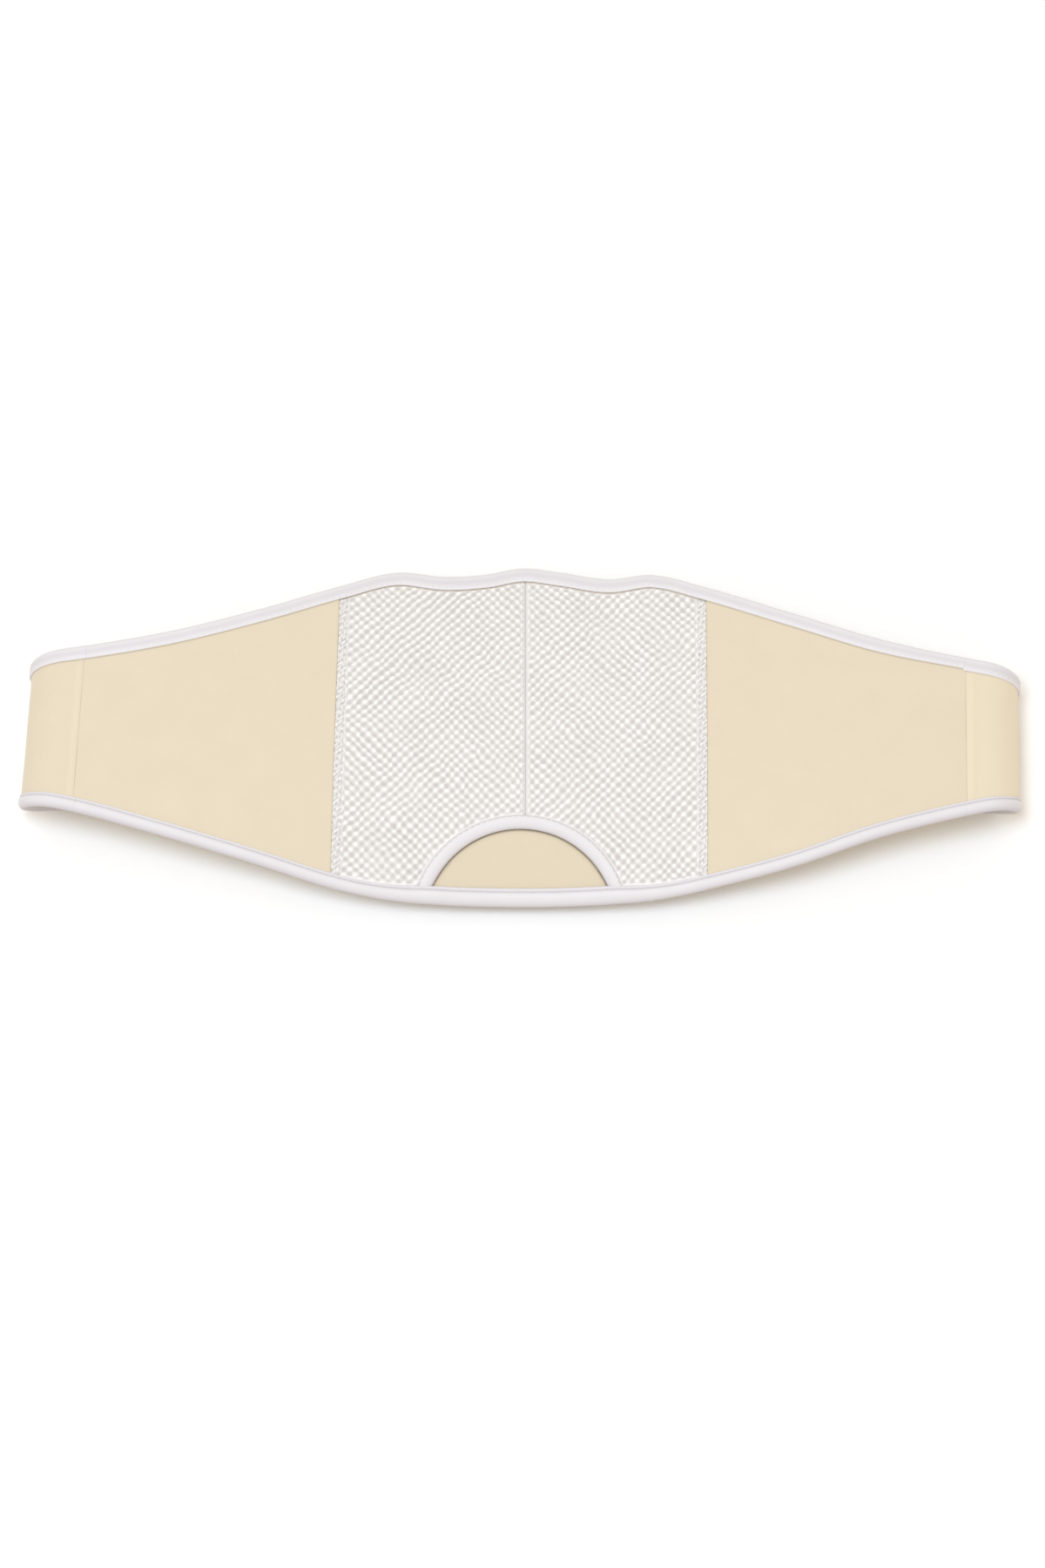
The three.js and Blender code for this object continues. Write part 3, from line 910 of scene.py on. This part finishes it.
class BELT_OT_side_panels(bpy.types.Operator):
    """Cream cloth from the mesh out to the end seams"""

    bl_idname = "belt.side_panels"
    bl_label = "Side panels"

    seed = 20  # of the cloth's waves
    seam_shade = 0.08  # painted shade on the cloth along the mesh seam
    shade_start, shade_end = 0.2 * MM, 1.2 * MM

    def execute(self, context):
        sizes = context.scene.belt_sizes
        for name, side in SIDES.items():
            ends = (side * (MESH_SEAM + SEAM_GAP / 2), side * (WING_SEAM - SEAM_GAP / 2))
            panel = ClothPanel(ends, sizes.cloth_step)
            outs = cloth_outs(sizes, panel.along, panel.height, self.seed + side)
            to_mesh, to_wing = np.abs(panel.along) - MESH_SEAM, WING_SEAM - np.abs(panel.along)
            sunk = rolled(to_mesh, *MESH_SEAM_ROLL) + rolled(to_wing, *WING_SEAM_ROLL)
            # painted shade along the mesh seam
            painted_shade = self.seam_shade * (1 - smoothstep(to_mesh, self.shade_start, self.shade_end))
            piece, node = "side_cloth_" + name, "side_panel_" + name
            add_cream(context, piece, panel, outs, sunk, {"painted_shade": painted_shade}, node, "laid")
        return {"FINISHED"}


class BELT_OT_wings(bpy.types.Operator):
    """Cream cloth from the end seams round the folds and along the back"""

    bl_idname = "belt.wings"
    bl_label = "Wings"

    seed = 30  # of the cloth's waves
    ridge_middle = 1.9 * MM  # from the seam to the top of its ridge
    ridge_half = 1.3 * MM
    ridge_fade = 2 * MM  # how far from the bindings the ridge is full
    # painted highlight along the end seam's ridge
    ridge_highlight = 0.45
    painted_light = {"left": (0.0, 0.2), "right": (0.4, 1.0)}  # painted light at the seam and on the fold
    painted_light_reach = 20 * MM  # how far past its start the painted light on the fold is full

    def execute(self, context):
        sizes = context.scene.belt_sizes
        for name, side in SIDES.items():
            ends = (side * (WING_SEAM + SEAM_GAP / 2), side * WING_END)
            panel = ClothPanel(ends, sizes.cloth_step)
            along, height = panel.along, panel.height
            distance = np.abs(along)
            front, back = cloth_outs(sizes, along, height, self.seed + side)
            still = 1 - smoothstep(distance, FOLD_START, FOLD_END)
            front = CLOTH / 2 + still * (front - CLOTH / 2)
            back = -CLOTH / 2 + still * (back + CLOTH / 2)
            inside = inside_bindings(along, height)
            ridge = bell(distance - WING_SEAM - self.ridge_middle, self.ridge_half)
            ridge = ridge * smoothstep(inside, BINDING_WIDTH, BINDING_WIDTH + self.ridge_fade)
            front = front + sizes.seam_ridge * ridge
            sunk = rolled(distance - WING_SEAM, *WING_SEAM_ROLL)
            sunk = sunk + rolled(WING_END - distance, *WING_END_ROLL)
            # painted light on the fold and painted highlight on the ridge
            painted_light = np.minimum(1, self.painted_light_share(name, distance) + self.ridge_highlight * ridge)
            piece, node = "wing_cloth_" + name, "wing_" + name
            add_cream(context, piece, panel, (front, back), sunk, {"painted_light": painted_light}, node, "folded")
        return {"FINISHED"}

    def painted_light_share(self, name, distance):
        """Painted light on the cloth from the seam out to the fold; it ends below the fold."""
        at_seam, at_fold = self.painted_light[name]
        out = smoothstep(distance, WING_SEAM, FOLD_START + self.painted_light_reach)
        under = smoothstep(distance, FOLD_START + FOLD_LENGTH / 2, FOLD_END)
        return (at_seam + (at_fold - at_seam) * out) * (1 - under)


# Half-moon


def ray_to_edge(angle, inset):
    """Where rays from the arch's centre meet a line that far in from the belt's lower edge."""
    radius = np.full(np.shape(angle), ARCH_RADIUS)
    for _ in range(SOLVING_PASSES):
        along = ARCH_MIDDLE + radius * np.sin(angle)
        radius = (edge_at("lower", along) + inset - ARCH_CENTRE) / np.cos(angle)
    return radius


def angle_at_edge(radius, inset):
    """Angle at which circles round the arch's centre meet that line."""
    angle = np.ones(np.shape(radius))
    for _ in range(SOLVING_PASSES):
        along = ARCH_MIDDLE + radius * np.sin(angle)
        reach = (edge_at("lower", along) + inset - ARCH_CENTRE) / radius
        angle = np.arccos(np.clip(reach, -1, 1))
    return angle


def arch_place(radius, angle):
    """Distance along the belt and height of a place round the arch's centre."""
    return ARCH_MIDDLE + radius * np.sin(angle), ARCH_CENTRE + radius * np.cos(angle)


class BELT_OT_insert(bpy.types.Operator):
    """Half-moon of cream cloth, sewn into the lower binding and passing behind the arch binding"""

    bl_idname = "belt.insert"
    bl_label = "Half-moon insert"

    angles = 140
    rows = 60
    dip_before = 1.4 * MM  # where the cloth turns down to pass behind the arch binding
    dip_after = 1.6 * MM
    sag = (0.12 * MM, 26 * MM, 41)  # soft waves: amount, length and seed
    sag_fade = 6 * MM  # how far from the lower binding they are full
    dim = 0.07  # how much darker the whole insert is than the panels
    rim_shades = ((0.86, 1.1 * MM, 0.2 * MM), (0.14, 3 * MM, 0.6 * MM))  # share, start, full depth

    def execute(self, context):
        rim = ARCH_RADIUS - GAP
        foot = float(angle_at_edge(np.array(rim), BINDING_WIDTH))
        angle = np.linspace(-foot, foot, self.angles)[:, None]
        share = np.linspace(0, 1, self.rows)[None, :]
        tuck = 1 - smoothstep(np.abs(angle), TUCK_FULL, TUCK_START)
        depth = INSERT_DEPTH * (1 - smoothstep(np.abs(angle), TUCK_START, foot))
        hem = ray_to_edge(angle, CLOTH_INSET)
        radius = hem + (rim + tuck * INSERT_TUCK - hem) * share
        along, height = arch_place(radius, angle)
        above = height - edge_at("lower", along)
        free = smoothstep(above, BINDING_WIDTH, BINDING_WIDTH + self.sag_fade)
        sag = ripple(along, height, *self.sag)
        dip = smoothstep(radius, ARCH_RADIUS - self.dip_before, ARCH_RADIUS + self.dip_after)
        middle = (-depth * dip + sag * free).ravel()
        # painted shadow along the arch binding, and the upper tape's painted shadow line
        values = {"painted_shade": self.shade(radius), "past_tape": past_tape("upper", along, height)}
        piece = add_wall(
            context,
            "insert_cloth",
            "cream",
            along.ravel(),
            height.ravel(),
            (middle + INSERT_CLOTH / 2, middle - INSERT_CLOTH / 2),
            grid_quads(np.arange(radius.size).reshape(radius.shape)).tolist(),
            {key: value.ravel() for key, value in values.items()},
            "lower_insert",
        )
        flat = (2 * rim * sin(foot), float(height.max() - height.min()))
        strips = (radius[:, -1] ** 2 - radius[:, 0] ** 2) / 2
        area_under(strips, angle[:, 0])
        return {"FINISHED"}

    def shade(self, radius):
        """Painted shadow on the cloth along the arch binding, on top of the insert's slightly
        darker tone.
        """
        shade = sum(
            share * smoothstep(radius, ARCH_RADIUS - start, ARCH_RADIUS - full)
            for share, start, full in self.rim_shades
        )
        return self.dim + (1 - self.dim) * shade


# Bindings


class TapeSection:
    """A folded tape's outline: depths in from its fold and distances out of the cloth's middle."""

    swell, swell_change, swell_length = 0.10, 0.05, 14 * MM  # how much plumper it is in places
    crown_reach = 1.2 * MM  # from the seam to where that is full
    sewn_half = 1.0 * MM
    stitch_pull = 0.07 * MM  # how far a stitch draws the tape in

    def __init__(self, rows, seam_depth, seam_out):
        depth, out, painted_shade_share = np.array(rows).T
        slot_depth, slot_out = np.array(TAPE_SLOT_ROWS).T
        self.depth = MM * np.concatenate([depth, depth[-2::-1], slot_depth, slot_depth[::-1]])
        self.out = MM * np.concatenate([out, -out[-2::-1], -slot_out, slot_out[::-1]])
        self.painted_shade_share = np.concatenate([painted_shade_share, painted_shade_share[-2::-1], 0 * slot_depth, 0 * slot_depth])
        self.outside = np.arange(len(self.depth)) < 2 * len(depth) - 1
        self.seam_depth = seam_depth
        self.seam_out = seam_out
        steps = np.hypot(np.diff(self.depth), np.diff(self.out))
        self.around = np.concatenate([[0], np.cumsum(steps)])

    def outs(self, travel, fullness, sizes, seed):
        """How far the outline stands out along the tape: plumper, and drawn in by stitches."""
        change = ripple(travel, 0, self.swell_change, self.swell_length, seed)
        plump = fullness * (self.swell + change)
        crown = smoothstep(self.seam_depth - self.depth, 0, self.crown_reach)
        grown = self.out * (1 + plump * crown)
        sewn = bell(self.depth - self.seam_depth, self.sewn_half)
        pull = self.stitch_pull * sewn * np.cos(2 * pi * travel / sizes.stitch_pitch)
        drawn = grown - np.sign(self.out) * np.maximum(0, pull) * fullness
        return np.where(self.outside, drawn, self.out)


LAPPED_TAPE = TapeSection(LAPPED_TAPE_ROWS, seam_depth=5.28 * MM, seam_out=1.42 * MM)
PLAIN_TAPE = TapeSection(PLAIN_TAPE_ROWS, seam_depth=5.6 * MM, seam_out=1.74 * MM)
ROUND_TAPE = TapeSection(ROUND_TAPE_ROWS, seam_depth=6.05 * MM, seam_out=1.80 * MM)
EDGE_TAPES = {"upper": PLAIN_TAPE, "lower": LAPPED_TAPE}


def swept_faces(rings, size):
    """Faces of a closed section carried through rings, with a cap at both ends."""
    index = np.arange(rings * size).reshape(rings, size)
    turned = np.roll(index, -1, axis=1)
    quads = np.stack([index[:-1], turned[:-1], turned[1:], index[1:]], axis=-1).reshape(-1, 4)
    caps = [index[0, ::-1].tolist(), index[-1].tolist()]
    return quads.tolist() + caps


def add_tape(context, name, places, out, tape, travel, stands_for, turned=False):
    """A binding from the places of its rings."""
    along, height = places
    points = off_cloth(along, height, out).reshape(-1, 3)
    mapped = np.stack(np.broadcast_arrays(travel, tape.around[None, :]), axis=-1).reshape(-1, 2)
    # painted shade along the tape's outline
    values = {"painted_shade": np.broadcast_to(tape.painted_shade_share, along.shape).ravel()}
    faces = swept_faces(*along.shape)
    if turned:
        faces = [face[::-1] for face in faces]
    piece = add_piece(context, name, "tape", points, faces, mapped, values, [stands_for])


def travelled(line):
    """Length of a line up to each of its points."""
    return np.concatenate([[0], np.cumsum(np.linalg.norm(np.diff(line, axis=0), axis=1))])


def edge_line(column, stretch, pitch):
    """Places along a stretch of an edge at that spacing, and the edge's length up to each."""
    samples = 4000
    fine = np.linspace(*stretch, samples)
    travel = travelled(belt_point(fine, edge_at(column, fine)))
    at = np.linspace(0, travel[-1], round(travel[-1] / pitch) + 1)
    return np.interp(at, travel, fine), at


def in_from_edge(column, along, depth):
    """Places that far in from an edge, square to it."""
    inward = -1 if column == "upper" else 1
    rise = edge_rise(column, along)
    length = np.hypot(1, rise)
    return along - inward * rise * depth / length, edge_at(column, along) + inward * depth / length


class BELT_OT_edge_bindings(bpy.types.Operator):
    """White folded tape along the upper and lower edge, on the front and on each wing"""

    bl_idname = "belt.edge_bindings"
    bl_label = "Edge bindings"

    first_seed = 51  # of the tapes' swelling
    foot_lift = 0.5 * MM  # how far the lower tape's lip rises over the arch's feet
    foot_half, foot_power = 5 * MM, 4
    lip_before, lip_after = 0.6 * MM, 0.8 * MM  # where the lip starts and is full at the seam

    def execute(self, context):
        sizes = context.scene.belt_sizes
        for column, tape in EDGE_TAPES.items():
            for seed, (stretch, reach) in enumerate(STRETCHES.items(), self.first_seed):
                stations, travel = edge_line(column, reach, sizes.tape_step)
                middle, travel = stations[:, None], travel[:, None]
                places = in_from_edge(column, middle, tape.depth * edge_width(column, middle))
                fullness = 1 - smoothstep(np.abs(middle), FOLD_START, FOLD_END)
                out = tape.outs(travel, fullness, sizes, seed)
                if column == "lower":
                    out = out + self.lift_over_feet(middle, tape)
                node = f"{column}_{stretch}"
                name = node.replace("binding", "tape")
                add_tape(context, name, places, out, tape, travel, node, turned=column == "upper")
        return {"FINISHED"}

    def lift_over_feet(self, middle, tape):
        centre = ARCH_RADIUS + ARCH_WIDTH / 2
        reach = centre * np.sin(angle_at_edge(np.array(centre), BINDING_WIDTH))
        feet = (ARCH_MIDDLE - reach, ARCH_MIDDLE + reach)
        offsets = [(middle - foot) / self.foot_half for foot in feet]
        near = sum(np.exp(-(offset**self.foot_power)) for offset in offsets)
        past_seam = tape.depth - tape.seam_depth
        lip = smoothstep(past_seam, -self.lip_before, self.lip_after)
        return self.foot_lift * near * lip * (tape.out > 0)


class BELT_OT_arch_binding(bpy.types.Operator):
    """White folded tape round the half-moon opening, its feet under the lower tape"""

    bl_idname = "belt.arch_binding"
    bl_label = "Arch binding"

    seed = 53  # of the tape's swelling
    tucked = 1.6 * MM  # how far the feet reach under the lower tape
    rings = 170
    foot_press = 0.62  # how thick the feet are, as a share of the rest
    press_reach = 6 * MM
    least_out = 1.1 * MM

    def execute(self, context):
        tape = ROUND_TAPE
        radius = ARCH_RADIUS + tape.depth * ARCH_WIDTH / BINDING_WIDTH
        feet = angle_at_edge(radius, BINDING_WIDTH - self.tucked)
        share = np.linspace(-1, 1, self.rings)[:, None]
        places = arch_place(radius, feet * share)
        travel = share * feet.mean() * (ARCH_RADIUS + ARCH_WIDTH / 2)
        full = np.abs(tape.outs(travel, 1.0, context.scene.belt_sizes, self.seed))
        to_foot = inside_bindings(*places) - (BINDING_WIDTH - self.tucked)
        press = self.foot_press + (1 - self.foot_press) * smoothstep(to_foot, 0, self.press_reach)
        pressed = np.maximum(full * press, np.minimum(full, self.least_out))
        out = np.where(tape.outside, pressed, full) * np.sign(tape.out)
        add_tape(context, "arch_tape", places, out, tape, travel, "arch_binding")
        return {"FINISHED"}


# Stitches


class BELT_OT_stitches(bpy.types.Operator):
    """Stitches in the ditch of each tape and beside the seams of the mesh"""

    bl_idname = "belt.stitches"
    bl_label = "Stitches"

    sides = 6
    rings = ((-1.0, 0.0), (-0.82, 0.75), (0.0, 1.0), (0.82, 0.75), (1.0, 0.0))  # place, girth
    tip_sink = 0.5  # how far a stitch's tips sink, as a share of the thread's radius
    lie = 0.12 * MM  # how far a stitch's middle lies above what it is sewn into
    edge_step = 1 * MM
    arch_samples = 200
    arch_clear = 1 * MM  # from the lower tape to the first stitch of the arch
    seam_samples = 300
    seam_sink = 0.05 * MM
    beside_centre = 1.1 * MM  # from the mesh's seams to the stitches beside them
    beside_cloth = 3.8 * MM

    def execute(self, context):
        beside = MESH_SEAM - self.beside_cloth
        seams = (-beside, CENTRE_SEAM - self.beside_centre, beside)
        rows = {
            "upper_stitches": self.edge_rows("upper"),
            "lower_stitches": self.edge_rows("lower"),
            "arch_stitches": [self.arch_row(face) for face in (1, -1)],
            "seam_stitches": [self.seam_row(at) for at in seams],
        }
        for name, lines in rows.items():
            self.sew(context, name, lines)
        return {"FINISHED"}

    def edge_rows(self, column):
        reaches = STRETCHES.values()
        return [self.edge_row(column, reach, face) for reach in reaches for face in (1, -1)]

    def edge_row(self, column, reach, face):
        tape = EDGE_TAPES[column]
        middle = edge_line(column, reach, self.edge_step)[0]
        depth = tape.seam_depth * edge_width(column, middle)
        return self.on_tape(*in_from_edge(column, middle, depth), tape, face)

    def arch_row(self, face):
        tape = ROUND_TAPE
        radius = ARCH_RADIUS + tape.seam_depth * ARCH_WIDTH / BINDING_WIDTH
        foot = angle_at_edge(np.array(radius), BINDING_WIDTH + self.arch_clear)
        angle = np.linspace(-foot, foot, self.arch_samples)
        return self.on_tape(*arch_place(radius, angle), tape, face)

    def on_tape(self, along, height, tape, face):
        return along, height, np.full(along.shape, face * (tape.seam_out + self.lie))

    def seam_row(self, at):
        lower = mesh_lower_edge(np.array(at)) + BINDING_WIDTH - CLOTH_INSET
        upper = edge_at("upper", np.array(at)) - BINDING_WIDTH
        height = np.linspace(float(lower), float(upper), self.seam_samples)
        return np.full(height.shape, at), height, np.full(height.shape, CLOTH / 2 - self.seam_sink)

    def sew(self, context, name, lines):
        sizes = context.scene.belt_sizes
        points, faces = [], []
        for row in lines:
            line = off_cloth(*row)
            travel = travelled(line)
            count = int(travel[-1] / sizes.stitch_pitch)
            middle = (np.arange(count) + 0.5) * sizes.stitch_pitch
            along, height, out = (np.interp(middle, travel, values) for values in row)
            quarter = sizes.stitch_pitch / 4
            ahead = self.at(line, travel, middle + quarter)
            behind = self.at(line, travel, middle - quarter)
            up = cloth_normal(along, height) * np.sign(out)[:, None]
            start = sum(len(made) for made in points)
            centre = off_cloth(along, height, out)
            points.append(self.stitch_points(sizes, centre, unit(ahead - behind), up))
            faces += self.stitch_faces(count, start)
        add_piece(context, name, "thread", np.concatenate(points), faces)

    def at(self, line, travel, places):
        return np.stack([np.interp(places, travel, axis) for axis in line.T], axis=1)

    def stitch_points(self, sizes, centre, forward, up):
        across = np.cross(up, forward)
        half, radius = sizes.stitch_length / 2, sizes.thread_width / 2
        turn = 2 * pi * np.arange(self.sides) / self.sides
        made = []
        for place, girth in self.rings:
            angles = turn if girth else turn[:1]
            for angle in angles:
                side = cos(angle) * radius * girth
                rise = sin(angle) * radius * girth - (1 - girth) * self.tip_sink * radius
                made.append(centre + place * half * forward + side * across + rise * up)
        return np.stack(made, axis=1).reshape(-1, 3)

    def stitch_faces(self, count, start):
        n = self.sides
        last = 1 + (len(self.rings) - 2) * n
        step = [(i, (i + 1) % n) for i in range(n)]
        one = [[0, 1 + j, 1 + i] for i, j in step]
        for low in range(1, last - n, n):
            one += [[low + i, low + j, low + n + j, low + n + i] for i, j in step]
        one += [[last - n + i, last - n + j, last] for i, j in step]
        firsts = [start + (last + 1) * stitch for stitch in range(count)]
        return [[first + point for point in face] for first in firsts for face in one]


# Closure


class BELT_OT_hook_tab(bpy.types.Operator):
    """Hook tape between the overlapping wings, a plain sheet with round corners"""

    bl_idname = "belt.hook_tab"
    bl_label = "Hook tab"

    corner_parts = 6
    rim_parts = 2
    smooth_angle = radians(40)

    def execute(self, context):
        low, high = TAB_BOX
        bpy.ops.object.select_all(action="DESELECT")
        bpy.ops.mesh.primitive_cube_add(size=1, location=(low + high) / 2, scale=high - low)
        piece = context.object
        piece.name = "closure_tape"
        bpy.ops.object.transform_apply(location=True, rotation=True, scale=True)
        self.round_edges(piece, True, TAB_CORNER, self.corner_parts)
        self.round_edges(piece, False, TAB_RIM, self.rim_parts)
        bpy.ops.object.shade_smooth_by_angle(angle=self.smooth_angle)
        dress(context, piece, "hook")
        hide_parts("hook_tab")
        return {"FINISHED"}

    def round_edges(self, piece, upright, radius, parts):
        """Bevels the upright edges or the level ones."""
        bpy.ops.object.mode_set(mode="EDIT")
        bpy.ops.mesh.select_mode(type="EDGE")
        bpy.ops.mesh.select_all(action="DESELECT")
        bpy.ops.object.mode_set(mode="OBJECT")
        points = piece.data.vertices
        for edge in piece.data.edges:
            first, second = (points[i].co for i in edge.vertices)
            way = second - first
            edge.select = (abs(way.z) > way.length / 2) == upright
        bpy.ops.object.mode_set(mode="EDIT")
        bpy.ops.mesh.bevel(offset=radius, segments=parts, affect="EDGES")
        bpy.ops.object.mode_set(mode="OBJECT")


# Stage


def add_aimed(context, data, place, way):
    """A lamp or a camera at a place, facing that way."""
    item = bpy.data.objects.new(data.name, data)
    item.location = place
    item.rotation_euler = way.to_track_quat("-Z", "Y").to_euler()
    context.scene.collection.objects.link(item)
    return item


class BELT_OT_stage(bpy.types.Operator):
    """White floor, soft light and the camera"""

    bl_idname = "belt.stage"
    bl_label = "Stage"

    key_place = Vector((-0.35, -0.4, 2.6))
    floor_parts = 4
    sensor_width = 36

    def execute(self, context):
        stage = context.scene.belt_stage
        self.floor(context, stage)
        self.light(context, stage)
        self.camera(context, stage)
        return {"FINISHED"}

    def floor(self, context, stage):
        parts = {"x_subdivisions": self.floor_parts, "y_subdivisions": self.floor_parts}
        bpy.ops.object.select_all(action="DESELECT")
        bpy.ops.mesh.primitive_grid_add(size=stage.floor_size, **parts)
        floor = context.object
        floor.name = "floor"
        floor.data.materials.append(floor_finish(stage.floor_colour))

    def light(self, context, stage):
        world = bpy.data.worlds.new("even light")
        context.scene.world = world
        world.use_nodes = True
        background = world.node_tree.nodes["Background"]
        background.inputs["Color"].default_value = opaque(stage.sky_colour)
        background.inputs["Strength"].default_value = stage.sky
        lamp = bpy.data.lights.new("soft box", "AREA")
        lamp.shape = "SQUARE"
        lamp.size = stage.key_size
        lamp.energy = stage.key_power
        lamp.color = stage.key_colour
        add_aimed(context, lamp, self.key_place, -self.key_place)
        context.scene.view_settings.view_transform = "Standard"

    def camera(self, context, stage):
        aim = ORIGIN + Vector((0, -stage.aim_across, stage.aim_height))
        back = Vector((0, -cos(stage.elevation), sin(stage.elevation)))
        lens = bpy.data.cameras.new("camera")
        lens.sensor_width = self.sensor_width
        lens.lens = stage.lens
        context.scene.camera = add_aimed(context, lens, aim + back * stage.distance, -back)


class BELT_PT_sidebar(bpy.types.Panel):
    """Belt tools in the sidebar"""

    bl_idname = "BELT_PT_sidebar"
    bl_label = "Support belt"
    bl_space_type = "VIEW_3D"
    bl_region_type = "UI"
    bl_category = "Belt"

    def draw(self, context):
        for operator in OPERATORS:
            self.layout.operator(operator.bl_idname)
        for name in SETTINGS:
            group = getattr(context.scene, name)
            box = self.layout.box()
            for key in group.__annotations__:
                box.prop(group, key)


OPERATORS = (
    BELT_OT_mesh_panels,
    BELT_OT_side_panels,
    BELT_OT_wings,
    BELT_OT_insert,
    BELT_OT_edge_bindings,
    BELT_OT_arch_binding,
    BELT_OT_stitches,
    BELT_OT_hook_tab,
    BELT_OT_stage,
)
SETTINGS = {"belt_colours": BeltColours, "belt_sizes": BeltSizes, "belt_stage": BeltStage}
CLASSES = (*SETTINGS.values(), *OPERATORS, BELT_PT_sidebar)


def register():
    for item in CLASSES:
        bpy.utils.register_class(item)
    for name, group in SETTINGS.items():
        setattr(bpy.types.Scene, name, PointerProperty(type=group))


def unregister():
    for name in SETTINGS:
        delattr(bpy.types.Scene, name)
    for item in reversed(CLASSES):
        bpy.utils.unregister_class(item)


def main():
    register()
    for operator in OPERATORS:
        group, name = operator.bl_idname.split(".")
        getattr(getattr(bpy.ops, group), name)()


if __name__ == "__main__":
    main()
